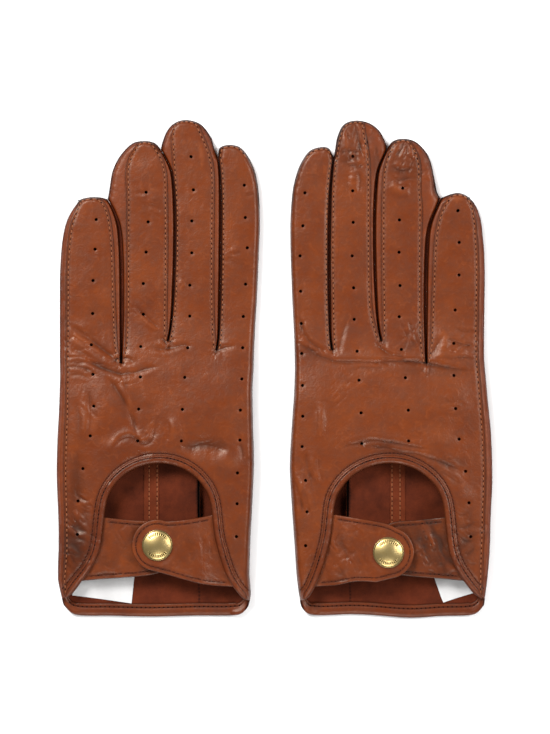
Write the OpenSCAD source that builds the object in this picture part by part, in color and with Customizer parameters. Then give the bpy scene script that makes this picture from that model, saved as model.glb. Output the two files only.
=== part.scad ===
// A pair of men's driving gloves lying flat, backs up, thumbs folded under the palms.
// Origin: on the surface under the pair, midway between the gloves and between the
// longest fingertip and the cuffs. +X right, +Y to the fingertips, +Z up.
// Every module below draws the right-hand glove; left() mirrors it.
// The outer walls of the hand belong to the back on the index-finger side, and to the palm
// leather on the little-finger side, where it wraps round onto the back.

/* [Leather] */
// Thickness of every leather piece
leather = 1.0; // [0.8:0.05:1.2]
// Height of the empty space inside the hand and the fingers
hollow = 6.5; // [6:0.1:7]
// Gap in X between two neighbouring fingers
finger_gap = 0.6; // [0.6:0.05:0.8]

/* [Thumb] */
// Thickness of the flattened thumb under the palm
thumb_h = 4.5; // [4:0.1:5]
// Gap between the thumb and the palm above it
thumb_gap = 0.3; // [0.3:0.05:0.5]

/* [Cuff opening] */
// Width of the binding around the opening in the back
binding_w = 4.0; // [3:0.1:4.5]
// Thickness of the binding
binding_t = 0.8; // [0.5:0.1:1]
// Width of the turned hem along the cuff
hem_w = 6.0; // [4:0.5:7]
// Width of the palm leather that wraps onto the back at the little-finger edge
wrap_w = 4.0; // [3:0.5:5]

/* [Snap strap] */
// Thickness of the lined over strap
strap_t = 1.4; // [1.2:0.1:1.6]
// Thickness of the under strap
tab_t = 1.2; // [1:0.1:1.3]
// Diameter of the snap's cap
cap_d = 15; // [12:0.5:15]
// Diameter of the snap's stud
stud_d = 4.4; // [4:0.1:4.6]
// Radial clearance between the stud and its socket
stud_clearance = 0.4; // [0.3:0.05:0.5]

/* [Hidden] */
$fn = 48;
PIECES = [
    "back_panel", "palm_thumb_side", "palm_little_side", "opening_binding", "cuff_hem", "label",
    "thumb_outer", "thumb_inner",
    "index_back", "index_palm", "index_fourchette",
    "middle_back", "middle_palm", "middle_index_side_fourchette", "middle_ring_side_fourchette",
    "ring_back", "ring_palm", "ring_middle_side_fourchette", "ring_little_side_fourchette",
    "little_back", "little_palm", "little_fourchette",
    "snap_strap", "snap_cap", "snap_socket",
    "strap_tab", "snap_stud", "snap_post"
];

// Levels
hand_z = thumb_h + thumb_gap;            // underside of the palm
palm_top = hand_z + leather;             // inner face of the palm
back_z = palm_top + hollow;              // underside of the back
back_top = back_z + leather;
finger_back_z = leather + hollow;        // underside of a finger's back
strap_sink = 1.1;                        // how far the over strap sits below the back's top
strap_z = back_top - strap_sink;         // underside of the over strap
tab_lift = 3.0;                          // the under strap's height above the palm
tab_z = palm_top + tab_lift;             // underside of the under strap
tab_top = tab_z + tab_t;

// Plan
joint_y = 2;             // the line where all four fingers bend
joint_gap = 0.3;         // each side of that line
cuff_y = -122.5;
wall_y = -115;           // the side walls start here, just in from the cuff
label_at = [74, -114.5];
label_size = [22, 10, 0.4];
hem_x = [20, 97];        // ends of the turned hem
hem_t = 0.8;
index_tip_x = 21.8;      // where a finger's side strips meet over its tip
middle_tip_x = 41.3;
ring_tip_x = 64.4;
little_tip_x = 90.8;
palm_seam_x = 62;        // where the two halves of the palm meet
half_gap = finger_gap / 2;
right_snap = [56.2, -91.0];   // centre of the snap, in each glove's own plan
left_snap = [57.8, -87.4];
$snap = right_snap;
strap_r = 12.7;          // round end of the over strap
rivet_r = 2.0;           // rivet holes in the strap and the tab
rivet_clearance = 0.1;
pad_r = 5.2;             // flanges of the snap's inner pieces
pad_t = 0.3;             // the stud's flange
post_t = 0.7;            // the rivet behind the stud
socket_gap = 0.3;        // between the two halves of the snap when shut
stud_short = 1.0;        // the stud stops this far below the over strap, less its flange
cap_rim_h = 0.9;
cap_rim_inset = 0.4;     // bevel under the cap's rim
cap_dome_h = 1.1;
cap_dome_inset = 0.6;
far = 200;               // boxes that cut the gloves reach past them
tall = 40;

// Colours
tan = "#88462A";
tan_light = "#924F32";
suede = "#5F2A19";
brass = "#9D8554";
satin = "#E1DEDC";

// A smooth curve through hand-set points, n steps between each two of them
function blend4(a, b, c, d, t) = 0.5 * (2 * b + (c - a) * t
    + (2 * a - 5 * b + 4 * c - d) * t * t
    + (3 * b - a - 3 * c + d) * t * t * t);
function curve(p, n = 3) = concat(
    [for (i = [0 : len(p) - 2]) for (k = [0 : n - 1])
        blend4(p[max(i - 1, 0)], p[i], p[i + 1], p[min(i + 2, len(p) - 1)], k / n)],
    [p[len(p) - 1]]);
function inset(p, t) = [for (i = [0 : len(p) - 1])
    let (d = p[min(i + 1, len(p) - 1)] - p[max(i - 1, 0)]) p[i] + t * [d[1], -d[0]] / norm(d)];
function reversed(p) = [for (i = [len(p) - 1 : -1 : 0]) p[i]];
function shifted(p, dx) = [for (q = p) [q[0] + dx, q[1]]];

// Gaps between the fingers, from the crotch to where the tips part
index_middle = [[28.5, joint_y], [28.2, 9], [27.4, 20], [26.9, 45], [26.9, 70], [27.3, 90], [28.3, 104]];
middle_ring = [[53, joint_y], [52.8, 13], [50.6, 30], [49.7, 50], [49.5, 75], [50.5, 93], [52.3, 100.5], [56.4, 108.5]];
ring_little = [[75.5, joint_y], [75.3, 20], [75.3, 45], [76, 62], [77.2, 71], [79.8, 78], [83, 84]];

// Finger outlines, from the thumb side of the root, over the tip, to the other side
index_edge = concat(
    curve([[10, joint_y], [9.7, 14], [8.6, 35], [7.6, 62], [7.6, 76], [8.6, 89], [10.6, 98], [14, 105.4],
           [17.6, 108.9], [21.8, 110], [25.8, 108.4]]),
    reversed(shifted(curve(index_middle), -half_gap)));
middle_edge = concat(
    shifted(curve(index_middle), half_gap),
    curve([[29.3, 109], [31.2, 115], [35, 120.8], [41.3, 122.5], [47.6, 121.6], [52.2, 118], [55, 113]]),
    reversed(shifted(curve(middle_ring), -half_gap)));
ring_edge = concat(
    shifted(curve(middle_ring), half_gap),
    curve([[59.4, 111.6], [64.4, 112.7], [70.5, 111.7], [75.8, 106], [79, 99], [81.2, 91], [82.3, 85.5]]),
    reversed(shifted(curve(ring_little), -half_gap)));
little_edge = concat(
    shifted(curve(ring_little), half_gap),
    curve([[86.6, 85.4], [90.8, 86], [95, 84.8], [99.6, 79.5], [102.7, 73], [104.5, 63], [105.1, 50],
           [105.2, 25], [105.2, joint_y]]));

// Hand outline
index_side = curve([[10, joint_y], [10.1, -8], [9.5, -28], [8.9, -48], [9.7, -68], [10.7, -86], [11.3, -104],
                    [12.2, -115], [14.4, -120], [20, cuff_y]]);
little_side = curve([[105.2, joint_y], [106, -14], [107.4, -34], [108, -54], [107.1, -76], [106.7, -96],
                     [105.2, -114], [103, -119.2], [97, cuff_y]]);
hand = concat(reversed(index_side), little_side);

// Inner edge of the opening in the back: two legs and a half ellipse
arch_at = [56.9, -72];
arch = [27.5, 25.6];
opening_edge = concat(
    curve([[6, -117.5], [12.2, -115], [16.4, -112.6], [21.3, -104], [25.3, -93], [28.6, -80]]),
    [for (a = [180 : -12 : 0]) arch_at + [arch[0] * cos(a), arch[1] * sin(a)]],
    curve([[85.2, -80], [87.7, -93], [94, -104], [101, -112.4], [105, -114.4], [112, -117]]));

// Straps: the root edges lie just inside the opening's edge
strap_root = [[31, -73.6], [22.4, -107.4]];
tab_root = [[83.4, -74.4], [92.6, -104]];
function over_strap(snap) = concat(
    [strap_root[1], strap_root[0], [44, -75.2]],
    [for (a = [100 : -10 : -75]) snap + strap_r * [cos(a), sin(a)]],
    [[50, snap[1] - strap_r - 0.8], [40, -105.6]]);
under_strap = [tab_root[0], tab_root[1], [78, -103.8], [62, -103], [50, -99], [45, -92], [45, -86],
               [50, -79], [62, -75.4], [74, -74.6]];

// Folded thumb, and the hole that it opens from
thumb_edge = curve([[14, -79], [10.4, -72], [9.4, -56], [9.8, -38], [12, -22], [16, -12.6], [21.5, -9.6],
                    [27, -12.4], [31, -22], [33.4, -38], [36.4, -56], [37, -72], [32, -79]]);
thumb_hole = [for (a = [0 : 15 : 345]) [24.4, -61] + [8.6 * cos(a), 10.5 * sin(a)]];

module left() {
    $snap = left_snap;
    mirror([1, 0, 0]) children();
}
module plate(z, t, outline) translate([0, 0, z]) linear_extrude(t) polygon(outline);

// A wall one leather thick inside an open outline, with its root end left open
module wall(z, h, edge) {
    inner = inset(edge, leather);
    translate([0, 0, z]) linear_extrude(h) polygon(concat(edge, reversed(inner)));
}
module half(x, side) translate([side > 0 ? x : x - far, -far, -1]) cube([far, 2 * far, tall]);

module finger_wall(edge, split_x, side) intersection() {
    wall(leather, hollow, edge);
    half(split_x, side);
}
module band(y0, y1) translate([-far / 2, y0, -1]) cube([2 * far, y1 - y0, tall]);
module above_joint() band(joint_y + joint_gap, far);
module below_joint() band(-far, joint_y - joint_gap);

// Hand
module back_region(z, t) intersection() {
    difference() {
        plate(z, t, hand);
        plate(z - 1, t + 2, concat(opening_edge, [[112, -140], [6, -140]]));
    }
    below_joint();
}
module wrap_strip(z, t) plate(z, t, concat(little_side, reversed(inset(little_side, wrap_w))));

module back_panel() color(tan) {
    difference() {
        back_region(back_z, leather);
        wrap_strip(back_z - 1, leather + 2);
    }
    intersection() {
        plate(palm_top, hollow, concat(reversed(index_side), inset(index_side, -leather)));
        band(wall_y, joint_y - joint_gap);
        half(palm_seam_x, -1);
    }
}
module palm_thumb_side() color(suede) difference() {
    intersection() {
        plate(hand_z, leather, hand);
        below_joint();
        half(palm_seam_x, -1);
    }
    plate(hand_z - 1, leather + 2, thumb_hole);
}
module palm_little_side() color(suede) {
    intersection() {
        plate(hand_z, leather, hand);
        below_joint();
        half(palm_seam_x, 1);
    }
    intersection() {
        plate(palm_top, hollow, concat(little_side, reversed(inset(little_side, leather))));
        band(wall_y, joint_y - joint_gap);
        half(palm_seam_x, 1);
    }
    intersection() {
        back_region(back_z, leather);
        wrap_strip(back_z, leather);
    }
}
module opening_binding() color(tan) intersection() {
    plate(back_top, binding_t, concat(opening_edge, reversed(inset(opening_edge, -binding_w))));
    plate(back_top - 1, binding_t + 2, hand);
    band(wall_y - 1, 0);
}
module cuff_hem() color(tan) translate([hem_x[0], cuff_y, palm_top])
    cube([hem_x[1] - hem_x[0], hem_w, hem_t]);
module label() color(satin) translate([label_at[0], label_at[1], palm_top]) cube(label_size);

// Thumb
module thumb_outer() color(tan) {
    plate(0, leather, thumb_edge);
    plate(leather, thumb_h - 2 * leather, concat(thumb_edge, reversed(inset(thumb_edge, leather))));
}
module thumb_inner() color(suede) difference() {
    plate(thumb_h - leather, leather, thumb_edge);
    plate(thumb_h - leather - 1, leather + 2, thumb_hole);
}

// Fingers
module finger_back(edge) color(tan_light) intersection() {
    plate(finger_back_z, leather, edge);
    above_joint();
}
module finger_palm(edge) color(suede) intersection() {
    plate(0, leather, edge);
    above_joint();
}
module fourchette(edge, tip_x, side) color(tan) intersection() {
    finger_wall(edge, tip_x, side);
    above_joint();
}
module index_back() {
    finger_back(index_edge);
    fourchette(index_edge, index_tip_x, -1);
}
module index_palm() finger_palm(index_edge);
module index_fourchette() fourchette(index_edge, index_tip_x, 1);
module middle_back() finger_back(middle_edge);
module middle_palm() finger_palm(middle_edge);
module middle_index_side_fourchette() fourchette(middle_edge, middle_tip_x, -1);
module middle_ring_side_fourchette() fourchette(middle_edge, middle_tip_x, 1);
module ring_back() finger_back(ring_edge);
module ring_palm() finger_palm(ring_edge);
module ring_middle_side_fourchette() fourchette(ring_edge, ring_tip_x, -1);
module ring_little_side_fourchette() fourchette(ring_edge, ring_tip_x, 1);
module little_back() finger_back(little_edge);
module little_palm() {
    finger_palm(little_edge);
    fourchette(little_edge, little_tip_x, 1);
}
module little_fourchette() fourchette(little_edge, little_tip_x, -1);

// Straps and snap
module at_snap(z) translate([$snap[0], $snap[1], z]) children();
module snap_strap() color(tan) difference() {
    plate(strap_z, strap_t, over_strap($snap));
    at_snap(strap_z - 1) cylinder(h = strap_t + 2, r = rivet_r);
}
module snap_cap() color(brass) at_snap(strap_z) {
    translate([0, 0, strap_t]) rotate_extrude() polygon(concat(
        [[0, 0], [cap_d / 2 - cap_rim_inset, 0], [cap_d / 2, cap_rim_inset], [cap_d / 2, cap_rim_h]],
        [for (a = [10 : 10 : 90]) [(cap_d / 2 - cap_dome_inset) * cos(a), cap_rim_h + cap_dome_h * sin(a)]]));
    cylinder(h = strap_t, r = rivet_r - rivet_clearance);
}
module snap_socket() color(brass) at_snap(tab_top) difference() {
    translate([0, 0, pad_t + socket_gap]) cylinder(h = strap_z - tab_top - pad_t - socket_gap, r = pad_r);
    cylinder(h = strap_z - tab_top - socket_gap, r = stud_d / 2 + stud_clearance);
}
module strap_tab() color(tan) difference() {
    plate(tab_z, tab_t, under_strap);
    at_snap(tab_z - 1) cylinder(h = tab_t + 2, r = rivet_r);
}
module snap_stud() color(brass) at_snap(tab_z) {
    cylinder(h = tab_t, r = rivet_r - rivet_clearance);
    translate([0, 0, tab_t]) cylinder(h = pad_t, r = pad_r);
    translate([0, 0, tab_t + pad_t]) cylinder(h = strap_z - tab_top - stud_short, r = stud_d / 2);
}
module snap_post() color(brass) at_snap(tab_z - post_t) cylinder(h = post_t, r = pad_r);

back_panel();  // right_back_panel
palm_thumb_side();  // right_palm_thumb_side
palm_little_side();  // right_palm_little_side
opening_binding();  // right_opening_binding
cuff_hem();  // right_cuff_hem
label();  // right_label
thumb_outer();  // right_thumb_outer
thumb_inner();  // right_thumb_inner
index_back();  // right_index_back
index_palm();  // right_index_palm
index_fourchette();  // right_index_fourchette
middle_back();  // right_middle_back
middle_palm();  // right_middle_palm
middle_index_side_fourchette();  // right_middle_index_side_fourchette
middle_ring_side_fourchette();  // right_middle_ring_side_fourchette
ring_back();  // right_ring_back
ring_palm();  // right_ring_palm
ring_middle_side_fourchette();  // right_ring_middle_side_fourchette
ring_little_side_fourchette();  // right_ring_little_side_fourchette
little_back();  // right_little_back
little_palm();  // right_little_palm
little_fourchette();  // right_little_fourchette
snap_strap();  // right_snap_strap
snap_cap();  // right_snap_cap
snap_socket();  // right_snap_socket
strap_tab();  // right_strap_tab
snap_stud();  // right_snap_stud
snap_post();  // right_snap_post
left() back_panel();  // left_back_panel
left() palm_thumb_side();  // left_palm_thumb_side
left() palm_little_side();  // left_palm_little_side
left() opening_binding();  // left_opening_binding
left() cuff_hem();  // left_cuff_hem
left() label();  // left_label
left() thumb_outer();  // left_thumb_outer
left() thumb_inner();  // left_thumb_inner
left() index_back();  // left_index_back
left() index_palm();  // left_index_palm
left() index_fourchette();  // left_index_fourchette
left() middle_back();  // left_middle_back
left() middle_palm();  // left_middle_palm
left() middle_index_side_fourchette();  // left_middle_index_side_fourchette
left() middle_ring_side_fourchette();  // left_middle_ring_side_fourchette
left() ring_back();  // left_ring_back
left() ring_palm();  // left_ring_palm
left() ring_middle_side_fourchette();  // left_ring_middle_side_fourchette
left() ring_little_side_fourchette();  // left_ring_little_side_fourchette
left() little_back();  // left_little_back
left() little_palm();  // left_little_palm
left() little_fourchette();  // left_little_fourchette
left() snap_strap();  // left_snap_strap
left() snap_cap();  // left_snap_cap
left() snap_socket();  // left_snap_socket
left() strap_tab();  // left_strap_tab
left() snap_stud();  // left_snap_stud
left() snap_post();  // left_snap_post
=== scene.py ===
import math

import bpy
import numpy as np
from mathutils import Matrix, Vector
from mathutils.geometry import delaunay_2d_cdt


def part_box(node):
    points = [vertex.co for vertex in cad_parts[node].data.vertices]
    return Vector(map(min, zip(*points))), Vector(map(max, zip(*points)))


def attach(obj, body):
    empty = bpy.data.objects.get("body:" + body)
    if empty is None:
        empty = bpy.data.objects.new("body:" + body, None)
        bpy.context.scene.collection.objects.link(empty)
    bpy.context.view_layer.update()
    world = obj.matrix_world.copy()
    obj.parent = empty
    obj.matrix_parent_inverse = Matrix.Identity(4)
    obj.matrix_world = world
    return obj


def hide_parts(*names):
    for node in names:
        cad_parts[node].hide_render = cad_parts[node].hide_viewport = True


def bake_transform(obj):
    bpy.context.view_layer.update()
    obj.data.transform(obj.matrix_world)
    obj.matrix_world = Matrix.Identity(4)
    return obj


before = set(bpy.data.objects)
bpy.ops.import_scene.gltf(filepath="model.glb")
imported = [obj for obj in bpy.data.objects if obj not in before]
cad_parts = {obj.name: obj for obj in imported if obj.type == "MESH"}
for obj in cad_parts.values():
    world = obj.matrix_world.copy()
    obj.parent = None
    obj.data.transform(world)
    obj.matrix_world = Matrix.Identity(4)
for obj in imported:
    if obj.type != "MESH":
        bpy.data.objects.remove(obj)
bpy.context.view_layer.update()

# A pair of driving gloves. Every shape is worked out in millimetres for a right-hand glove
# (x from its index-finger side to its little-finger side) and mirrored for the left one.
MM = 0.001
SIDES = ("right", "left")
FINGERS = ("index", "middle", "ring", "little")


def low(node, axis):
    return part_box(node)[0][axis] / MM


def high(node, axis):
    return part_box(node)[1][axis] / MM


CUFF_Y = low("right_palm_thumb_side", 1)
PALM_Z = low("right_palm_thumb_side", 2)      # underside of the palm over the thumb
BACK_TOP = high("right_back_panel", 2)
FINGER_TOP = high("right_middle_back", 2)
STRAP_TOP = high("right_snap_strap", 2)
TAB_TOP = high("right_strap_tab", 2)
JOINT_Y = low("right_index_back", 1)
SPLIT_Y = JOINT_Y - 9.6                        # where the finger pieces take over from the hand
ROOT_Y = SPLIT_Y - 0.4                         # they slip this far under the hand's leather
BEND_END_Y = JOINT_Y + 12
LEATHER = 0.9                                  # thickness of the hand's leather
PALM = 0.9                                     # and of the palm's
HOLE_R = 0.8
STITCH = 2.5                                   # pitch of the seams
BIND_STITCH = 1.9                              # pitch around the opening
SEAM_IN = 1.25                                 # stitches from a panel's edge
OPENING_IN = 4.4                               # stitches from the opening's edge
CROTCH_X = (28.5, 52.8, 75.5)                  # where the gaps between the fingers begin
SNAP = {"right": (56.2, -91.0), "left": (57.8, -87.4)}
STRAP_END_R = 12.7
STRAP_END_FROM = {"right": 56, "left": 100}    # where the strap's round end begins, in degrees
STRAP_ROOT = [(29, -72.4), (20, -108.2)]
STRAP_UPPER = {
    "right": [(28.2, -72.0), (36, -73.3), (44, -74.6), (50, -75.6), (56, -77.0), (60.6, -79.2)],
    "left": [(28.2, -72.0), (34, -73.4), (44, -74.9), (50, -75.4), (53.8, -75.5)]}
TAB_ROOT = [(86.4, -73.2), (95.2, -105.2)]
# Where each moving body's bend starts and ends
BENDS = {finger: ((50, SPLIT_Y, 4), (50, BEND_END_Y, 4)) for finger in FINGERS}
BENDS["strap"] = ((25.9, -90.5, 13), (35.6, -88.0, 13))
BENDS["tab"] = ((88.6, -89.2, 10), (79.0, -92.2, 10))
BENDS["thumb"] = ((24, -60, 4.9), (24, -60, 4.2))
SEAM_X = 62.0                                  # the seam between the palm's two pieces
TAPE_ROWS = (58.3, 62.3)
SLIT_X = 37.4                                  # the palm folds open into the thumb here
# Across the binding, from under its inner edge to its outer edge: distance out, lift and tone. The tone is
# painted shade under the roll, in the stitch groove and down the outer edge, and painted highlight on the
# roll's top and the bead.
BIND_PROFILE = [(1.4, -2.0), (0.2, -1.9), (-0.5, -1.3), (-0.75, -0.6), (-0.6, 0.0), (-0.1, 0.45),
    (0.6, 0.78), (1.3, 0.9), (1.9, 0.8), (2.3, 0.6), (2.7, 0.72), (3.1, 0.6), (3.35, 0.25),
    (3.4, -0.25)]
BIND_TONE = [-0.8, -0.7, -0.5, -0.4, -0.35, -0.2, 0.05, 0.15, -0.25, -0.55, 0.1, 0.25, -0.5, -0.9]
# The same for the hem of the cuff, from its inner edge, round the cuff and under the palm; its tone is
# painted shade at the inner edge, in the stitch channel and round the cuff's edge, with faint painted
# highlight on top
HEM_PROFILE = [(6.1, -0.3), (6.1, 0.45), (5.6, 0.8), (4.9, 0.9), (4.2, 0.66), (3.5, 0.9),
    (2.8, 1.0), (1.8, 1.0), (0.6, 0.8), (-0.1, 0.3), (-0.35, -0.4), (0.0, -1.0), (0.8, -1.3),
    (3.0, -1.25), (5.8, -1.15)]
HEM_TONE = [-0.8, -0.6, -0.2, 0.0, -0.3, 0.0, 0.1, 0.15, 0.1, 0.0, -0.2, -0.2, -0.1, 0.0, -0.3]


# ---------------------------------------------------------------- plan curves

def curve(points, n=8):
    """A smooth path through given points."""
    p = np.array(points, float)
    p = np.vstack([p[0], p, p[-1]])
    t = np.arange(n)[:, None] / n
    parts = []
    for a, b, c, d in zip(p, p[1:], p[2:], p[3:]):
        parts.append(0.5 * (2 * b + (c - a) * t + (2 * a - 5 * b + 4 * c - d) * t**2
                            + (3 * b - a - 3 * c + d) * t**3))
    return np.vstack(parts + [p[-1:]])


def normals(path):
    """Unit vectors to the right of the way along the path."""
    d = np.gradient(path, axis=0)
    d /= np.linalg.norm(d, axis=1)[:, None] + 1e-12
    return np.stack([d[:, 1], -d[:, 0]], axis=1)


def aside(path, by):
    return path + normals(path) * by


def lengths(path):
    return np.concatenate([[0], np.cumsum(np.linalg.norm(np.diff(path, axis=0), axis=1))])


def resample(path, step):
    """Points evenly spaced along the path, its two ends included."""
    s = lengths(path)
    at = np.linspace(0, s[-1], max(2, int(round(s[-1] / step)) + 1))
    return np.stack([np.interp(at, s, path[:, k]) for k in range(path.shape[1])], axis=1)


def above(path, y):
    return path[path[:, 1] > y]


def below(path, y):
    return path[path[:, 1] < y]


def x_at(path, y):
    order = np.argsort(path[:, 1])
    return np.interp(y, path[order, 1], path[order, 0])


def on(path, y):
    """The point of a path at a height in the plan."""
    return [[x_at(path, y), y]]


def nearest(points, path):
    """Distance to a path, share of the way along it, and which side of it a point is on."""
    a, b = path[:-1], path[1:]
    ab = b - a
    size = (ab**2).sum(1) + 1e-12
    share0 = lengths(path)
    out = np.empty((3, len(points)))
    for i in range(0, len(points), 4096):
        q = points[i:i + 4096, None] - a
        t = np.clip((q * ab).sum(2) / size, 0, 1)
        r = q - ab * t[..., None]
        d = np.sqrt((r**2).sum(2))
        k = d.argmin(1)
        rows = np.arange(len(k))
        out[0, i:i + 4096] = d[rows, k]
        out[1, i:i + 4096] = (share0[k] + t[rows, k] * np.sqrt(size[k])) / share0[-1]
        out[2, i:i + 4096] = np.sign(ab[k, 0] * r[rows, k, 1] - ab[k, 1] * r[rows, k, 0])
    return out


def inside(points, polygon):
    x, y = points[:, 0], points[:, 1]
    hit = np.zeros(len(points), bool)
    for (x0, y0), (x1, y1) in zip(polygon, np.roll(polygon, -1, axis=0)):
        if y0 != y1:
            hit ^= ((y0 > y) != (y1 > y)) & (x < (x1 - x0) * (y - y0) / (y1 - y0) + x0)
    return hit


def smooth(t):
    t = np.clip(t, 0, 1)
    return t * t * (3 - 2 * t)


def bell(t):
    """1 at 0, and falling to 0 on both sides."""
    return np.exp(-t ** 2)


def mound(p, at, radii):
    """The same over the plan, around a place."""
    return np.exp(-((p[:, 0] - at[0]) / radii[0]) ** 2 - ((p[:, 1] - at[1]) / radii[1]) ** 2)


# Gaps between the fingers, from the crotch to where the tips part
GAP = {
    "index_middle": curve([(28.5, 9.2), (28.0, 12), (27.4, 20), (26.9, 45), (26.9, 70), (27.3, 90),
        (28.3, 104.4)]),
    "middle_ring": curve([(52.8, 13.6), (51.6, 20), (50.6, 30), (49.7, 50), (49.5, 75), (50.5, 93),
        (52.3, 100.5), (56.4, 108.5)]),
    "ring_little": curve([(75.5, 2.7), (75.3, 20), (75.3, 45), (76, 62), (77.2, 71), (79.8, 78),
        (83, 84)])}
# Outer outline, stretch by stretch: index side, three tips, little side
INDEX_SIDE = curve([(20, CUFF_Y), (14.4, -120), (12.2, -115), (11.3, -104), (10.7, -86), (9.7, -68),
    (8.9, -48), (9.5, -28), (10.1, -8), (9.7, 14), (8.6, 35), (7.6, 62), (7.6, 76), (8.6, 89),
    (10.6, 98), (13.6, 104.8), (17.0, 108.7), (21.8, 110), (25.6, 108.6), (28.3, 104.4)])
MIDDLE_TIP = curve([(28.3, 104.4), (29.3, 109), (31.2, 115), (35, 120.6), (41.3, 122.5),
    (47.6, 121.4), (52.2, 118), (55, 113), (56.4, 108.5)])
RING_TIP = curve([(56.4, 108.5), (59.4, 111.6), (64.4, 112.7), (70.5, 111.5), (75.8, 106), (79, 99),
    (81.2, 91), (82.3, 86.5), (83, 84)])
LITTLE_SIDE = curve([(83, 84), (86.8, 85.5), (90.8, 86), (95, 84.4), (99.6, 79.5), (102.7, 73),
    (104.5, 63), (105.1, 50), (105.2, 25), (105.2, 2), (106, -14), (107.4, -34), (108, -54),
    (107.1, -76), (106.7, -96), (105.2, -114), (103, -119.2), (97, CUFF_Y)])
OUTLINE = np.vstack([INDEX_SIDE, MIDDLE_TIP, RING_TIP, LITTLE_SIDE])
INDEX_EDGE, LITTLE_EDGE = INDEX_SIDE[:80], LITTLE_SIDE[60:]      # their stretches up and down the hand

# Inner edge of the opening in the back: two legs and a half ellipse
ARCH_AT, ARCH_R = (56.9, -72.0), (27.5, 25.6)
ARCH = np.array([(ARCH_AT[0] - ARCH_R[0] * math.cos(a), ARCH_AT[1] + ARCH_R[1] * math.sin(a))
                 for a in np.linspace(0, math.pi, 60)])
OPENING = np.vstack([
    curve([(12.4, -115), (16.4, -112.6), (21.3, -104), (25.3, -93), (28.6, -80)])[:-1],
    ARCH,
    curve([(85.2, -80), (87.7, -93), (94, -104), (101, -112.4), (104.2, -114.2)])[1:]])
OPENING = resample(curve(OPENING[::6], 6), 0.6)

THUMB = curve([(14, -82), (10.8, -74), (10.0, -56), (10.2, -38), (12, -22), (16, -12.6),
    (21.5, -9.6), (27, -12.4), (31, -22), (34.0, -36), (38.0, -48), (39.8, -60), (40.0, -74),
    (37.6, -82), (32, -85.4), (22, -85.6), (14, -82)])[:-1]
# The hole in the palm that the thumb opens into
THUMB_MOUTH = resample(curve([(33.6, -44.6), (36.8, -47), (37.6, -51), (37.6, -62), (37.6, -73),
    (37.0, -79), (33, -82), (24, -82), (17.4, -76), (15.2, -62), (17.2, -50), (24, -43.8),
    (33.6, -44.6)]), 0.7)[:-1]
# The cuff's edge, from where the binding meets it on one side round to the other
HEM = curve([(12.4, -111.5), (12.3, -115), (14.4, -119.8), (20, CUFF_Y), (40, CUFF_Y), (60, CUFF_Y),
    (80, CUFF_Y), (97, CUFF_Y), (102.6, -119.4), (104.6, -115), (104.4, -111.5)])
# The label's corners, from its hem end at the little-finger side, and its flat size in metres
LABEL = {
    "left": (((99.8, -112.9), (71.0, -116.4), (69.4, -103.0), (98.5, -100.2)), (0.0291, 0.0133)),
    "right": (((100.8, -111.4), (84.2, -116.2), (79.4, -103.6), (96.6, -99.4)), (0.0174, 0.0131))}
# Shifts of the index-finger side and of the little-finger side, up each glove: height in the plan and
# how far towards the little finger
EASE = {
    "left": ([(-120, 0), (-112, 0), (-102, 1.3), (-60, 1.4), (-30, 1.2), (-10, 0.9), (0, 0.3),
        (30, 0.2), (60, 0), (88, -0.5), (106, -0.8)], [(-120, 0.4), (-114, 0.5), (-105, 1.4),
        (-90, 0.2), (-60, 0), (-25, 0.3), (-7, 0.9), (5, 1.4), (46, 1.4), (70, 0.6), (82, -0.3)]),
    "right": ([(-120, 0), (-114, 0.4), (-102, -0.4), (-84, -1.0), (-50, -1.4), (-30, -1.0), (-13, -0.4),
        (0, 0), (60, 0.2), (88, 0.5), (100, 1.0), (106, 1.4)], [(-120, 0), (-114, -0.8), (-96, -0.4),
        (-84, 0), (-30, 0), (-7, -0.6), (5, -1.2), (20, -1.2), (46, -0.8), (66, -0.9), (76, 0),
        (82, 1.2)])}
# Shifts of single places, mostly fingertips: place, radius, shift
TIPS = {
    "left": [((40, 119), 11, (3.0, 0.7)), ((62, -122), 20, (0, -0.7)), ((94, 86), 5, (2.2, -0.8)),
        ((18, 108), 7, (1.0, 0.9)), ((26, 109), 4, (1.6, 0.5)), ((80, 98), 9, (1.1, 0)),
        ((89, 86), 6, (0, -0.8))],
    "right": [((68, -122), 14, (0, -1.3)), ((38, -121), 12, (0, 0.5)), ((64, 112), 9, (-0.8, 1.1)),
        ((22, 109), 5, (1.3, -0.3)), ((41, 118), 12, (-1.8, 0.4)), ((80, 93), 11, (-1.7, 0)),
        ((79, 86), 4.5, (-1.6, 0)), ((91, 86), 7, (0, 0.9))]}

# Half width of each gap between the fingers
GAP_WIDTH = {"index_middle": 0.35, "middle_ring": 0.3, "ring_little": 0.6}

# Panel edges: where the back of a finger is sewn to its side strips
INDEX_PANEL = GAP["index_middle"] - np.outer(np.clip((GAP["index_middle"][:, 1] - 9.2) / 8, 0, 1), (0.25, 0))
MIDDLE_PANEL = {
    "right": (curve([(28.5, 9.2), (27.9, 30), (27.5, 60), (27.8, 90), (29.2, 106), (32, 115.6),
        (35, 120.6)]), curve([(52.8, 13.6), (50.4, 20), (48.2, 32), (47.6, 60), (47.5, 92), (47.1, 108),
        (45.6, 122.0)])),
    "left": (curve([(28.5, 9.2), (29.4, 20), (29.9, 40), (30.0, 70), (30.2, 95), (32, 108),
        (35.4, 120.8)]), curve([(52.8, 13.6), (51.2, 20), (50.2, 32), (49.4, 50), (49.3, 75),
        (50.2, 92), (50.8, 104), (50.4, 114), (48.4, 120.8)]))}
RING_PANEL = (curve([(52.8, 13.6), (53.2, 20), (53.1, 32), (52.8, 60), (53.1, 92), (54.6, 102),
    (56.8, 107), (60.2, 111.8)]), curve([(75.5, 2.7), (73.9, 12), (73.3, 30), (73.2, 60),
    (73.4, 92), (72.6, 102), (70.2, 108), (67.6, 112.2)]))
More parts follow.
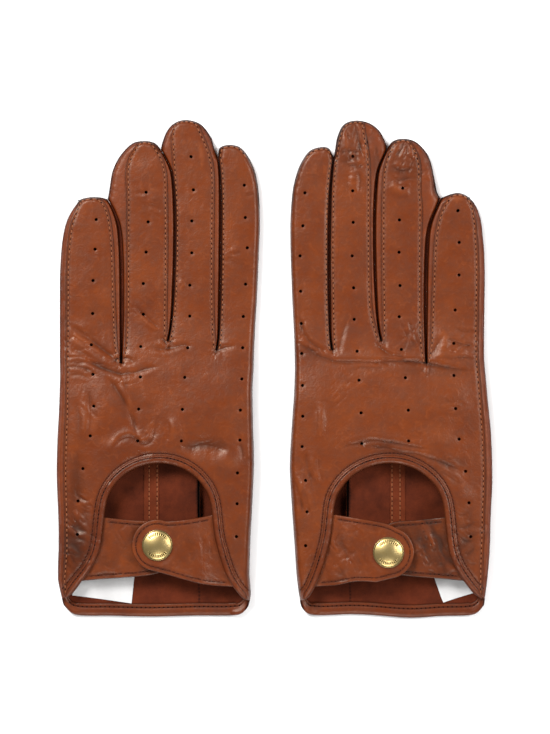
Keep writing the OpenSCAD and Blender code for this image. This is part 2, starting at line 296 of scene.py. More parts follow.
LITTLE_PANEL = (curve([(75.5, 2.7), (77.2, 12), (78.0, 30), (78.6, 50), (79.3, 62), (80.6, 72),
    (83.0, 80), (86.6, 85.3)]), curve([(95.6, 84.0), (98.6, 78.5), (100.8, 70), (101.9, 55),
    (102.0, 30), (102.1, 5), (102.8, -14), (103.8, -34), (104.4, -54), (103.8, -76), (103.6, -96),
    (103.9, -112)]))

# Perforations of each glove, finger by finger
HOLES_AT = {
    "left": [(15, 90.5), (14.5, 74.5), (13.5, 59.5), (14.4, 41.5), (15.5, 25.5), (15.8, 10),
        (16.2, -5.4), (16.9, -20.8), (17.1, -35.6), (18.3, -51.8), (18.5, -67), (18.8, -83.2),
        (41.4, 104.6), (40.2, 88.2), (41, 72.8), (41, 57), (42, 41), (42, 25.7), (43, 10), (44.4, -4.6),
        (45.5, -20.4), (46, -36), (63.6, 87), (62.6, 72.3), (63.6, 57.4), (65, 41.8), (65, 26.6),
        (66.2, 10.6), (66.3, -4.4), (67.1, -20.3), (67.5, -36), (88.3, 73.5), (88.9, 58.8),
        (89.9, 43.3), (90.1, 27), (90.7, 11.5), (89.8, -3.1), (89.3, -18.8), (91, -33.5), (94.7, -49.7),
        (97.1, -65.7), (97.4, -82.2)],
    "right": [(15, 86.7), (14, 70.4), (12.6, 55.5), (12.9, 38), (13.2, 22), (13.4, 7.2), (13.8, -8.6),
        (13.9, -23.8), (13.6, -38.8), (15.3, -55.5), (16, -71), (15.3, -87.7), (38.7, 104.8),
        (38.6, 87.7), (38.9, 72.1), (38.4, 55.5), (39.1, 39.7), (39.4, 24.1), (40.8, 8.3), (41.7, -6),
        (42.7, -22.1), (43, -37.3), (63.4, 89), (61.8, 73.3), (61.6, 57.3), (62.1, 40.8), (61.7, 25.4),
        (62.7, 9.2), (64.6, -4.8), (66, -20.8), (66.1, -36), (90.8, 77.9), (91.4, 62.2), (91.3, 46),
        (89.4, 28.7), (88.7, 12.2), (88.6, -3.7), (89.4, -20), (91.1, -35.1), (94.3, -51), (96, -66.6),
        (96.9, -83.3)]}

# Folds in the leather: path, half width, depth of the valley, height of the ridge beside it
# (above 0 on the left of the path's way, below 0 on its right)
FOLDS = {
    "left": [
        ([(101, 22.5), (96, 18.5), (91, 14.8), (84.5, 9.4), (79, 5.0), (75.5, 0)], 1.0, 1.3, 1.0),
        ([(101, 17), (95, 13.5), (89, 8.5), (83, 4.4)], 0.6, 0.5, 0.4),
        ([(97, 3.2), (90, 2.4), (83, -0.6), (76, -2.8), (70, -2.4), (64, -0.6), (55, 1.2)], 0.9, 1.0, 0.5),
        ([(101, 9), (94, 7.5), (87, 3.4)], 0.6, 0.45, 0.4),
        ([(102, 5), (96, 5.4), (90, 5)], 0.5, 0.4, 0.3),
        ([(102, 0.5), (95, 0.4), (88, -2.6)], 0.5, 0.4, 0.3),
        ([(101, -4), (95, -3.6), (90, -6)], 0.5, 0.3, 0.2),
        ([(80, 2), (77, 4.4), (72, 4.8), (69, 2)], 0.6, 0.7, -0.5),
        ([(84, -3), (79.5, -8), (75, -15), (71.2, -22), (68.6, -30), (67.1, -36)], 1.4, 1.3, -0.2),
        ([(76, -3.4), (72.6, -10), (69.8, -17), (67.6, -25)], 1.0, 0.3, 0.9),
        ([(66, -4), (63.6, -12), (62.6, -20)], 1.6, -0.5, 0.2),
        ([(80.5, -41), (77, -36.4), (72.6, -34.4), (69.3, -34.8), (66.6, -37), (63.4, -37.6), (60.4, -35.2),
            (58.6, -30), (56.4, -24)], 0.9, 0.9, -1.1),
        ([(69, -41), (65, -42.6), (60, -41)], 1.2, 0.5, 0.5),
        ([(53.8, -38), (52.4, -31), (53.4, -24)], 0.8, 0.4, 0.5),
        ([(47, -38.6), (40, -38.8), (33, -38), (27, -39.4), (20.5, -41.6)], 2.6, 1.7, 0.4),
        ([(16, -37), (14.6, -41), (14, -46)], 0.9, 0.7, -0.6),
        ([(68.7, 87), (66, 86.4), (63.4, 87)], 0.5, 0.5, 0.3),
        ([(62, 80.6), (59, 79.4), (56.4, 77.4)], 0.6, 0.5, 0.5),
        ([(61, 77.4), (58.6, 75.8), (56.6, 73.6)], 0.5, 0.3, 0.3),
        ([(69.4, 30.6), (65.4, 27), (61, 22.8), (56.4, 19)], 0.6, 0.7, 0.8),
        ([(62.5, 11), (57, 9.4), (52, 9.6), (45, 11.4), (39.6, 10.4)], 0.7, 0.8, 0.4),
        ([(56.5, 15.4), (53.6, 12), (52.9, 8)], 0.6, 0.6, 0.6),
        ([(49.4, 15), (51.6, 12), (52.6, 8.4)], 0.5, 0.5, 0.5),
        ([(46, 45), (44, 42.4), (43, 40)], 0.5, 0.4, 0.4),
        ([(34, 6.5), (30.5, 7.4), (24, 10.2), (18, 11)], 0.6, 0.6, -0.3),
        ([(17, 57.6), (20, 56.4), (23, 57)], 0.7, 0.35, 0.4),
        ([(10.4, 87), (13, 85.6), (15.6, 86)], 0.5, 0.4, 0.4),
        ([(91.6, -9), (90.4, -18), (90.8, -27), (93, -37)], 0.9, 0.5, 0.5),
        ([(97.4, -14), (96.4, -24), (97, -34)], 1.0, 0.4, -0.5),
        ([(98.2, -38), (97, -50), (96.2, -62), (96.6, -74), (98, -86)], 2.8, 1.2, -0.3),
        ([(99.6, -60), (95.4, -64.4), (91, -66)], 0.6, 0.35, 0.3),
        ([(100.2, -69), (97.4, -70), (93.6, -74)], 0.6, 0.4, 0.3),
        ([(101, -76.6), (97.8, -79.6), (92.4, -81)], 0.7, 0.5, 0.4),
        ([(99.4, -80.4), (96.6, -84), (94, -85)], 0.5, 0.4, 0.3),
        ([(101.8, -86.4), (99.4, -88), (95.4, -91.6)], 0.7, 0.5, 0.4),
        ([(100.6, -92), (98.6, -95.6), (96.8, -96.4)], 0.5, 0.4, 0.3),
        ([(102.3, -97), (100.2, -98.4), (98, -102)], 0.6, 0.4, 0.3),
    ],
    "right": [
        ([(14, 8.6), (20, 6.6), (26, 4.6), (31, 3.2), (42, 2.9), (51, 2.7), (58, 3.2), (66, 3.3), (76, 2.2),
            (85, 0.4), (93, -1), (102, -1.6)], 0.9, 1.2, 0.6),
        ([(36, -0.6), (46, 0.2), (56, -0.4)], 0.7, 0.4, 0.3),
        ([(49, 13.4), (53, 9.6), (58, 6.4), (66, 5.4)], 0.7, 0.8, 0.6),
        ([(12.0, 27), (13.8, 18.5), (18.5, 11.8), (26.4, 8.4)], 0.9, 0.8, 0.7),
        ([(11, 13.4), (16, 9.6), (22, 8)], 0.6, 0.5, 0.4),
        ([(78, 4.6), (81, 11), (85, 17)], 1.2, 0.7, -1.0),
        ([(84, 13.8), (89, 13.4), (95, 11.4), (101, 11.4)], 0.7, 0.7, 0.6),
        ([(80, 5.4), (87, 4.6), (94, 5.2), (102, 4)], 0.6, 0.5, 0.4),
        ([(90, 20), (95, 18), (101, 18.6)], 0.5, 0.4, 0.3),
        ([(28, -17), (34, -10.4), (41, -2)], 0.35, 0.3, 0.3),
        ([(30, -19), (37, -12)], 0.35, 0.25, 0.2),
        ([(20.4, -16), (21.4, -25), (21, -34)], 1.2, 0.4, 0.5),
        ([(25, -18), (26.4, -26), (26, -35)], 1.1, 0.35, -0.4),
        ([(31, -41.6), (36, -38.6), (41.5, -37.2), (47, -35.8), (52, -35.8), (58, -36.8), (64, -38), (71.6,
            -39.4), (79, -41)], 0.8, 0.8, 0.5),
        ([(46, -39.6), (54, -39.2), (62, -41.2), (70, -42.6)], 0.7, 0.5, 0.4),
        ([(63, -41), (71.6, -43), (78.3, -45.1), (85, -47.6), (93, -50.9)], 0.9, 0.75, 0.5),
        ([(82, -51), (87, -54), (92, -57.6)], 0.7, 0.4, 0.4),
        ([(16.6, -40), (17.4, -48), (19.6, -57)], 1.2, 0.6, 0.6),
        ([(22.5, -42), (23.4, -50), (25.6, -58)], 0.9, 0.4, -0.5),
        ([(11.4, -53), (12.4, -60), (14.4, -67), (15.4, -72)], 1.1, 0.9, 1.1),
        ([(15.6, -60), (17.2, -66), (17.8, -73)], 0.8, 0.5, 0.6),
        ([(36, 24), (33, 14), (32, 6)], 0.8, 0.4, 0.4),
        ([(62, 24), (66, 16), (71, 10)], 0.6, 0.35, 0.4),
        ([(66, 25), (69, 17), (73, 9)], 0.5, 0.35, 0.3),
        ([(41.5, 121), (42.6, 112), (43.6, 103)], 0.8, 0.9, 0.8),
        ([(31.6, 106.5), (36, 107.2), (42, 106.6)], 0.6, 0.7, 0.5),
        ([(36.5, 118), (37.2, 111), (36, 104)], 0.7, 0.6, 0.6),
        ([(47, 118), (46.4, 112), (47.6, 106)], 0.6, 0.5, 0.5),
        ([(34, 101), (40, 99.5), (46, 101.5)], 0.7, 0.5, 0.5),
        ([(41, 98), (42, 92), (41.4, 86)], 0.8, 0.6, -0.6),
        ([(36.6, 97), (35.8, 91), (36.8, 85)], 0.6, 0.4, 0.4),
        ([(50.5, 110), (51.6, 104), (51.6, 98)], 0.6, 0.5, 0.5),
        ([(60, 104), (63.5, 107.6), (64.6, 111.5)], 0.7, 0.8, 0.6),
        ([(66, 111), (66.6, 105), (70, 101.6)], 0.6, 0.6, 0.5),
        ([(57.6, 100), (63, 97.6), (69, 99)], 0.7, 0.6, 0.6),
        ([(60, 93.6), (63, 89.6), (67, 90.4)], 0.9, 0.6, -0.8),
        ([(58, 96), (61, 93), (66, 94)], 0.5, 0.4, 0.3),
        ([(74.6, 103.4), (77.2, 100.4)], 0.5, 0.4, 0.4),
        ([(74.8, 98.6), (78.6, 95.8)], 0.5, 0.4, 0.4),
        ([(75, 94), (79.4, 91.4)], 0.5, 0.4, 0.4),
        ([(87.8, -69), (92, -72.6), (96.4, -71.4)], 0.6, 0.35, 0.3),
        ([(90.4, -78.4), (94, -79), (97.6, -77)], 0.6, 0.45, 0.35),
        ([(90.2, -82.6), (95, -85.6), (98.6, -85)], 0.7, 0.45, 0.35),
        ([(93.6, -91.4), (96.4, -91.6), (99.5, -88.6)], 0.5, 0.4, 0.3),
        ([(94.6, -94.4), (97.6, -97), (100.6, -96.6)], 0.6, 0.4, 0.3),
    ],
}
# Soft swellings: place, radius across x and y, height
SWELLS = {
    "left": [((94.3, -29.7), (5, 7), 0.7), ((86, -26), (4, 9), 0.5), ((77, -39), (7, 4.4), 0.9),
        ((48.7, -29.5), (3.4, 4.6), 0.8), ((60.5, -29), (3.4, 4), -0.5), ((21.5, -47), (6.4, 5.4), 0.8),
        ((73, -12), (5, 7), 0.6), ((56, -15), (14, 10), -0.5), ((93, 20), (4, 3.4), 0.5),
        ((101, -55), (3, 14), 0.4), ((59.5, 84), (5, 4), 0.4), ((66, 104), (6, 5), -0.3),
        ((19.7, 56), (4, 5), 0.35), ((90, 44), (5, 12), 0.3), ((16, 100), (4, 5), 0.3)],
    "right": [((61.2, 90.7), (5, 4), 0.6), ((83.7, 15), (4, 5), 0.8), ((41, 96), (4, 5), 0.5),
        ((36, 112), (3, 4), 0.5), ((13.4, -62), (2.4, 7), 0.7), ((92, 8), (8, 6), 0.6),
        ((40, -20), (20, 9), -0.4), ((90, -17), (7, 8), 0.5), ((93, -63), (5, 5), 0.6),
        ((80, -37), (6, 4), 0.5), ((23.5, -25), (2.2, 8), 0.5), ((58, -20), (12, 7), 0.3)]}


# Patches of fine wrinkles: place, radius along and across, direction in degrees, spacing, depth
WRINKLES = {
    "left": [((52.8, 11.6), (3, 2.6), 80, 1.1, 0.42), ((28.4, 7.4), (3, 2.6), 80, 1.1, 0.40),
        ((75.6, 0.6), (4, 3), 70, 1.2, 0.40), ((88, 3), (14, 5), 10, 1.7, 0.34),
        ((97, 12), (7, 9), 28, 1.5, 0.28), ((73, -3), (8, 5), -20, 1.6, 0.26),
        ((97.4, -80), (13, 5.4), 38, 2.1, 0.27), ((98, -74), (9, 6), 74, 1.7, 0.22),
        ((95, -66), (7, 5), 30, 1.4, 0.26), ((99, -92), (9, 5), 10, 1.5, 0.24),
        ((66, -36), (9, 5), -25, 1.5, 0.26), ((60, -30), (8, 4), -55, 1.7, 0.26),
        ((55, 12), (7, 4), 0, 1.4, 0.26), ((28, 10), (6, 3), 10, 1.4, 0.22),
        ((63, 80), (7, 5), 20, 1.5, 0.20), ((34, -38), (15, 4), 4, 2.0, 0.22),
        ((20, 55), (6, 5), 15, 1.6, 0.16), ((66, 28), (7, 4), 45, 1.5, 0.24),
        ((92, -20), (10, 5), 80, 2.0, 0.22), ((103, 30), (22, 2.4), 88, 2.0, 0.14)],
    "right": [((52.8, 11.6), (3, 2.6), 80, 1.1, 0.36), ((28.4, 7.4), (3, 2.6), 80, 1.1, 0.32),
        ((75.6, 0.6), (4, 3), 70, 1.2, 0.40), ((91, 9), (12, 7), 10, 1.6, 0.30),
        ((60, 4), (16, 3.4), 2, 1.6, 0.28), ((20, 10), (9, 5), -25, 1.5, 0.28),
        ((40, 110), (9, 5.5), 85, 1.5, 0.40), ((39, 99), (5, 5), 10, 1.4, 0.34),
        ((66, 104), (8, 6), 70, 1.5, 0.34), ((64, 93), (7, 5), 15, 1.5, 0.30),
        ((77, 97), (6, 3), 35, 1.3, 0.34), ((48, 113), (7, 3), 70, 1.4, 0.30),
        ((94, -80), (15, 4.6), 8, 1.9, 0.26), ((92, -88), (8, 6), 55, 1.6, 0.22),
        ((55, -37.6), (18, 3.4), 0, 1.6, 0.30), ((83, -47), (9, 4), -22, 1.6, 0.26),
        ((17, -55), (13, 5), 70, 1.7, 0.24), ((34, -9), (12, 5), 48, 1.7, 0.20),
        ((90, -18), (9, 6), 20, 1.5, 0.18), ((68, 16), (11, 5), 60, 1.6, 0.22),
        ((13, 20), (10, 3), 80, 1.5, 0.22), ((16, -95), (8, 4), 60, 1.6, 0.24)]}


# Wide patches of painted shade (below 0) and painted highlight (above 0) on the leather: place, radius across
# x and y, amount
PAINTED_SHADE_AND_HIGHLIGHT = {
    "left": [((99, -58), (3, 14), -0.30), ((98.5, -88), (6, 13), -0.46), ((94, -84), (9, 16), -0.14),
        ((33, -38.6), (16, 3.0), -0.26), ((73, -14), (2.6, 10), -0.30), ((86, 0), (12, 3), -0.25),
        ((60, -24), (4, 10), -0.14), ((103, 40), (2, 40), -0.16), ((57, 114), (4, 8), -0.10),
        ((75, 72), (3, 14), -0.22), ((17, -86), (5, 18), -0.12), ((60, -28), (5, 5), 0.32),
        ((20.4, -47), (6, 4), 0.36), ((89, -27), (2.6, 8), 0.36), ((71.6, -17), (1.8, 8), 0.40),
        ((95, 16), (6, 4), 0.40), ((60, 88), (5, 2), 0.30), ((66.5, 24), (5, 2.6), 0.34),
        ((14, 58), (6, 10), 0.22), ((36, 106), (1.4, 6), 0.5), ((62, 80), (5, 2), 0.3),
        ((50, -32), (3, 4), 0.3), ((83, -36), (6, 3), 0.3), ((97, -70), (2, 4), 0.4)],
    "right": [((56, -39), (24, 4.0), -0.24), ((86, -47), (9, 4), -0.26), ((95, -84), (5, 15), -0.36),
        ((38, 106), (6, 11), -0.34), ((66, 101), (9, 9), -0.26), ((78, -1), (22, 3), -0.22),
        ((18, 7), (8, 4), -0.20), ((14, -78), (3, 22), -0.14), ((69, 14), (5, 12), -0.14),
        ((50, 100), (2.4, 14), -0.30), ((82, 92), (3, 8), -0.25), ((18, -30), (6, 10), 0.20),
        ((60, -8), (16, 3), 0.20), ((12.8, -62), (1.5, 7), 0.60), ((36, -9), (6, 2), 0.26),
        ((84, -35), (8, 5), 0.25), ((84, 15), (3, 4), 0.46), ((60, 90), (4, 4), 0.42),
        ((36, 111), (1.6, 5), 0.50), ((37, 97), (2, 4), 0.42), ((89, 83.4), (4, 1.4), 0.60),
        ((66, 25), (8, 1.6), 0.3), ((14, -92), (1.6, 7), 0.4), ((78, -28), (10, 6), 0.16)]}
# The same kinds of patch on the two straps
STRAP_WRINKLES = {
    "left": [((36, -90), (7, 12), 78, 2.4, 0.22), ((62, -101), (9, 3), 15, 1.6, 0.26),
        ((46, -100), (8, 4), 25, 1.7, 0.24), ((34, -103), (9, 3), 12, 1.6, 0.22)],
    "right": [((30, -88), (16, 8), 112, 2.0, 0.36), ((38, -98), (12, 7), 118, 2.0, 0.34),
        ((44, -80), (8, 3), 165, 1.6, 0.24), ((24, -96), (12, 4), 108, 1.8, 0.30)]}
TAB_WRINKLES = {
    "left": [((80, -100), (9, 4), 10, 1.8, 0.26), ((74, -84), (9, 6), 75, 2.2, 0.24),
        ((88, -90), (10, 4), 80, 1.9, 0.30)],
    "right": [((78, -86), (13, 6), 118, 1.9, 0.46), ((73, -95), (9, 6), 125, 1.8, 0.42),
        ((86, -98), (9, 5), 140, 1.8, 0.36)]}
TAB_TONE = {"left": -0.10, "right": -0.32}


def lattice(points, size, seed):
    """Smooth noise from -1 to 1, with features about size millimetres across."""
    table = np.random.default_rng(seed).random((97, 89)) * 2 - 1
    q = points / size + 40
    i = np.floor(q).astype(int)
    f = smooth(q - i)
    def at(dx, dy):
        return table[(i[:, 0] + dx) % 97, (i[:, 1] + dy) % 89]
    bottom = at(0, 0) * (1 - f[:, 0]) + at(1, 0) * f[:, 0]
    top = at(0, 1) * (1 - f[:, 0]) + at(1, 1) * f[:, 0]
    return bottom * (1 - f[:, 1]) + top * f[:, 1]


def rounded(distance, radius):
    t = 1 - np.clip(distance / radius, 0, 1)
    return np.sqrt(np.clip(1 - t * t, 0, 1))


def edges(p):
    """Distance to the outer outline, and to the sides of the gaps between the fingers."""
    out = nearest(p, OUTLINE)[0]
    gap = np.full(len(p), 1e3)
    for name, path in GAP.items():
        d, t, _ = nearest(p, path)
        width = GAP_WIDTH[name] * (0.25 + 0.75 * smooth(t / 0.35)) * (1 - 0.6 * smooth((t - 0.7) / 0.3))
        gap = np.minimum(gap, d - width)
    return out, gap


def middle_z(p):
    """Height of the line where the top and the underside of the glove meet."""
    up = smooth((28 - p[:, 1]) / 52)
    hand = 6.4 - 1.4 * smooth((p[:, 0] - 40) / 50)
    hand -= 3.0 * smooth((-92 - p[:, 1]) / 30)
    return 3.8 * (1 - up) + hand * up


def wrinkled(p, patches):
    """Fine wrinkles in patches: a net of sharp creases that run one way, with low swellings between, and
    their tone of painted shade in the creases and painted highlight on the swellings.
    """
    z, tone = np.zeros(len(p)), np.zeros(len(p))
    for k, (at, (ru, rv), turn, spacing, depth) in enumerate(patches):
        q = p - at
        c, s = math.cos(math.radians(turn)), math.sin(math.radians(turn))
        u, v = q[:, 0] * c + q[:, 1] * s, q[:, 1] * c - q[:, 0] * s
        share = np.exp(-(u / ru) ** 2 - (v / rv) ** 2)
        slanted = np.column_stack([u / 4.5, v + 0.35 * u * lattice(p, 9, 90 + k)])
        line = np.clip(1 - 2.6 * np.abs(lattice(slanted, spacing, 100 + k)), 0, 1)
        swell = lattice(slanted, 1.7 * spacing, 130 + k)
        z += share * 1.5 * depth * (0.55 * swell - line ** 2)
        # Painted shade in the creases, painted highlight on the swellings
        tone += share * depth * (0.7 * swell - 0.7 * line ** 2)
    return z, tone


def detail(p, side):
    """Folds, swellings and slow unevenness of the leather, and their tone: painted shade down the folds'
    valleys, painted highlight on the ridges beside them, and wide patches of both.
    """
    left = side == "left"
    z = 0.20 * lattice(p, 17, 3 if left else 8)
    z += 0.10 * lattice(p, 7, 5 if left else 11)
    creased = smooth(0.5 + 0.9 * lattice(p, 21, 14 if left else 15))
    z += 0.06 * creased * (1 - 2 * np.abs(lattice(p * (1, 0.6), 3.4, 6 if left else 12)))
    tone = np.zeros(len(p))
    for path, width, depth, ridge in FOLDS[side]:
        way = curve(path, 6)
        lo, hi = way.min(0) - 4 * width - 1, way.max(0) + 4 * width + 1
        near = np.flatnonzero(((p > lo) & (p < hi)).all(1))
        if not len(near):
            continue
        d, t, s = nearest(p[near], way)
        taper = smooth(t / 0.25) * smooth((1 - t) / 0.25)
        w = 1.4 * width * (0.55 + 0.45 * taper)
        valley = np.exp(-(d / w) ** 1.25)
        beside = bell((d * s * np.sign(ridge) - 1.9 * w) / (1.6 * w))
        z[near] += taper * (0.5 * abs(ridge) * beside - 0.8 * depth * valley)
        # The fold's tone: painted highlight on the ridge beside it, painted shade down its valley
        sharp = min(1.0, 1.2 / width)
        dark = min(max(depth, 0), 1)
        fold_shade_and_highlight = 0.26 * abs(ridge) * beside - 0.52 * dark * np.exp(-(d / (0.6 * w)) ** 1.2)
        tone[near] += sharp * taper * fold_shade_and_highlight
    fine, marks = wrinkled(p, WRINKLES[side])
    z += fine
    tone += marks
    # Wide patches of painted shade and painted highlight
    for at, radii, amount in PAINTED_SHADE_AND_HIGHLIGHT[side]:
        tone += amount * mound(p, at, radii)
    for at, radii, h in SWELLS[side]:
        z += h * mound(p, at, radii)
    return z, tone


def top_z(p, side, seams=()):
    """Height of the glove's upper surface, and its tone: below 0 for painted shade in folds, gaps, channels
    and along the edges, above 0 for painted highlight on ridges.
    """
    out, gap = edges(p)
    x, y = p[:, 0], p[:, 1]
    up = smooth((28 - y) / 52)
    flat = (FINGER_TOP - 0.9) * (1 - up) + (BACK_TOP - 1.0) * up
    flat -= up * (1.7 * smooth((x - 78) / 28) + 0.8 * smooth((24 - x) / 14))
    flat -= 2.6 * smooth((-88 - y) / 30)
    low_z = middle_z(p)
    near = np.minimum(out, np.maximum(gap, 0))
    body = rounded(out, 2.8) * rounded(np.maximum(gap, 0), 0.9)
    z = low_z + (flat - low_z) * body + 0.55 * (1 - np.exp(-near / 4.5))
    folds, tone = detail(p, side)
    bumps = folds * smooth(near / 2.5)
    # Puckers gathered by the seam around each finger's tip
    tip = smooth((y - 78) / 8) * bell(out / 2.2)
    bumps += 0.36 * tip * lattice(p, 1.5, 17 if side == "left" else 19)
    # Painted shade: darkest, near black, down the gaps between the fingers, and darker in a band along the
    # outline where the edge rolls under. The line after darkens a band round each fingertip.
    tone = tone - 1.3 * smooth(1 - gap / 0.7) - 0.55 * bell(out / 0.45) - 0.12 * bell(out / 2.2)
    tone -= 0.45 * smooth((y - 76) / 8) * bell(out / 1.1)
    for path, shift, width, depth in seams:
        d, _, s = nearest(p, path)
        bumps -= depth * bell((d * s - shift) / width)
        # A dark line along each panel's edge, and painted shade in the channel the stitches pull in beside it
        tone -= 0.6 * bell(d / 0.32)
        tone -= 0.26 * bell((d * s - shift) / (1.3 * width))
    hole = np.min(np.linalg.norm(p[:, None] - HOLES[side][None], axis=2), axis=1)
    bumps -= 0.16 * bell((hole - HOLE_R) / 0.7)
    return z + bumps, tone


def under_z(p):
    """Height of the glove's underside: on the surface at the fingers, over the thumb at the palm."""
    out, gap = edges(p)
    y = p[:, 1]
    d = nearest(p, THUMB)[0]
    thumb = np.where(inside(p, THUMB), 1.0, smooth(1 - d / 24))
    up = smooth((12 - y) / 20)
    low_z = 0.3 * (1 - up) + up * (0.9 + (PALM_Z + 0.15 - 0.9) * thumb)
    mid = middle_z(p)
    return mid - (mid - low_z) * rounded(out, 3.0) * rounded(np.maximum(gap, 0), 1.3)


def palm_top(p):
    """Height of the palm's inner face, which is seen through the opening."""
    return under_z(p) + PALM


def ease(p, side):
    """The two gloves aren't exact mirror images: each is eased a little from the shared plan."""
    p = np.array(p, float)
    x, y = p[:, 0].copy(), p[:, 1].copy()
    for table, weight in zip(EASE[side], (smooth((60 - x) / 45), smooth((x - 60) / 40))):
        ys, by = np.array(table).T
        p[:, 0] += np.interp(y, ys, by) * weight
    for (cx, cy), r, (dx, dy) in TIPS[side]:
        near = np.exp(-((x - cx) ** 2 + (y - cy) ** 2) / r ** 2)
        p[:, 0] += dx * near
        p[:, 1] += dy * near
    return p


HOLES = {}
for name, at in HOLES_AT.items():
    at = np.array(at, float)
    HOLES[name] = 2 * at - ease(at, name)      # set back, so that easing brings each hole to its place


# ---------------------------------------------------------------- mesh making

def triangulate(rings, step=0.7):
    """Triangles over the plan region inside the first ring and outside the other rings."""
    points, links = [], []
    for ring in rings:
        n = len(points)
        points += [tuple(q) for q in ring]
        links += [(n + i, n + (i + 1) % len(ring)) for i in range(len(ring))]
    outer = rings[0]
    closed = [np.vstack([r, r[:1]]) for r in rings]
    lo, hi = outer.min(0), outer.max(0)
    rows = []
    for j, y in enumerate(np.arange(lo[1], hi[1], step * 0.87)):
        xs = np.arange(lo[0] + (j % 2) * step / 2, hi[0], step)
        rows.append(np.stack([xs, np.full(len(xs), y)], axis=1))
    fill = np.vstack(rows)
    fill = fill[inside(fill, outer)]
    keep = np.ones(len(fill), bool)
    for path in closed:
        keep &= nearest(fill, path)[0] > 0.55 * step
    fill = fill[keep]
    for depth in (0.08, 0.24, 0.5):
        for way in (1, -1):
            ring = aside(closed[0], way * depth)[:-1]
            ok = inside(ring, outer) & (nearest(ring, closed[0])[0] > 0.8 * depth)
            for path in closed[1:]:
                ok &= nearest(ring, path)[0] > 0.3
            fill = np.vstack([fill, ring[ok]])
    everything = [Vector(q) for q in points] + [Vector(q) for q in fill]
    verts, _, faces, _, _, _ = delaunay_2d_cdt(everything, links, [], 0, 1e-4)
    verts = np.array([tuple(v) for v in verts])
    faces = np.array(faces)
    middle = verts[faces].mean(axis=1)
    ok = inside(middle, outer)
    for ring in rings[1:]:
        ok &= ~inside(middle, ring)
    faces = faces[ok]
    a, b, c = (verts[faces[:, i]] for i in range(3))
    area = (b[:, 0] - a[:, 0]) * (c[:, 1] - a[:, 1]) - (b[:, 1] - a[:, 1]) * (c[:, 0] - a[:, 0])
    real = np.abs(area) > 1e-5
    faces = np.where((area[real] > 0)[:, None], faces[real], faces[real][:, ::-1])
    used, faces = np.unique(faces, return_inverse=True)
    return verts[used], faces.reshape(-1, 3)


def linked(name, data):
    obj = bpy.data.objects.new(name, data)
    bpy.context.collection.objects.link(obj)
    return obj


def build(name, side, verts, faces, materials, tone=None, index=None, flip=False):
    """A mesh from points in millimetres; the left glove's is mirrored."""
    v = np.array(verts, float)
    v[:, :2] = ease(v[:, :2], side)
    v *= MM
    faces = [tuple(f) for f in faces]
    if side == "left":
        v[:, 0] *= -1
        flip = not flip
    if flip:
        faces = [f[::-1] for f in faces]
    mesh = bpy.data.meshes.new(name)
    mesh.from_pydata(v.tolist(), [], faces)
    for m in materials:
        mesh.materials.append(m)
    if index is not None:
        mesh.polygons.foreach_set("material_index", np.array(index, np.int32))
    mesh.polygons.foreach_set("use_smooth", np.ones(len(mesh.polygons), bool))
    if tone is not None:
        mesh.attributes.new("tone", "FLOAT", "POINT").data.foreach_set("value", np.array(tone, np.float32))
    mesh.update()
    return linked(f"{side}_{name}", mesh)


def thicken(obj, depth=LEATHER, inner=1, rim=2):
    """Gives a sheet its thickness, below its face, with its own inner and cut-edge materials."""
    m = obj.modifiers.new("thickness", "SOLIDIFY")
    m.thickness = depth * MM
    m.offset = -1
    m.material_offset = inner
    m.material_offset_rim = rim
    dg = bpy.context.evaluated_depsgraph_get()
    mesh = bpy.data.meshes.new_from_object(obj.evaluated_get(dg))
    obj.modifiers.clear()
    obj.data = mesh
    mesh.set_sharp_from_angle(angle=math.radians(55))


def loft(rows, closed_cols=False):
    """Faces of a grid of points; rows is (n, m, 3)."""
    n, m = rows.shape[:2]
    ids = np.arange(n * m).reshape(n, m)
    if closed_cols:
        ids = np.hstack([ids, ids[:, :1]])
    a, b, c, d = ids[:-1, :-1], ids[1:, :-1], ids[1:, 1:], ids[:-1, 1:]
    return rows.reshape(-1, 3), np.stack([a, b, c, d], axis=2).reshape(-1, 4)


def joined(parts):
    """One list of points and faces from several."""
    verts, faces, n = [], [], 0
    for v, f in parts:
        verts.append(v)
        faces += [tuple(i + n for i in q) for q in f]
        n += len(v)
    return np.vstack(verts), faces


def run_of_stitches(path, pitch, height, length=1.6, radius=0.27, up=1):
    """Threads along a path, each a short rounded bar, with a small flat dark patch between it and the next:
    painted shade for its needle hole.
    height gives the surface's z at plan points, up is -1 on an underside. Returns points, faces
    and material numbers."""
    s = lengths(path)
    n = max(2, int(s[-1] / pitch))
    at = (np.arange(n) + 0.5) * s[-1] / n

    def along_path(u):
        return np.stack([np.interp(u, s, path[:, k]) for k in range(2)], axis=1)

    a, b = along_path(at - length / 2), along_path(at + length / 2)
    start, end = np.column_stack([a, height(a)]), np.column_stack([b, height(b)])
    along = end - start
    size = np.linalg.norm(along, axis=1)[:, None]
    along /= size
    across = np.column_stack([-along[:, 1], along[:, 0], np.zeros(n)])
    across /= np.linalg.norm(across, axis=1)[:, None]
    out = np.cross(along, across) * up
    ring = np.linspace(0, 2 * math.pi, 7)[:-1]
    # share of the length, share of the radius, lift off the surface
    profile = [(0.0, 0.25, -0.15), (0.1, 0.75, 0.02), (0.5, 1.0, 0.13), (0.9, 0.75, 0.02), (1.0, 0.25, -0.15)]
    parts, index = [], []
    for i in range(n):
        rows = np.array([[start[i] + along[i] * size[i] * t + out[i] * lift
                          + radius * r * (across[i] * math.cos(q) + out[i] * math.sin(q))
                          for q in ring] for t, r, lift in profile])
        v, f = loft(rows, closed_cols=True)
        parts.append((v, f))
        index += [0] * len(f)
    # The needle holes: flat dark patches just over the surface, painted shade
    c = along_path(np.clip(at + s[-1] / n / 2, 0, s[-1]))
    zc = height(c) + 0.05 * up
    for i in range(n):
        dot = np.array([0.5 * along[i] * math.cos(q) + 0.36 * across[i] * math.sin(q) for q in ring])
        parts.append((np.array([c[i][0], c[i][1], zc[i]]) + dot, [tuple(range(6))]))
        index.append(1)
    v, f = joined(parts)
    return v, f, index


# ---------------------------------------------------------------- materials

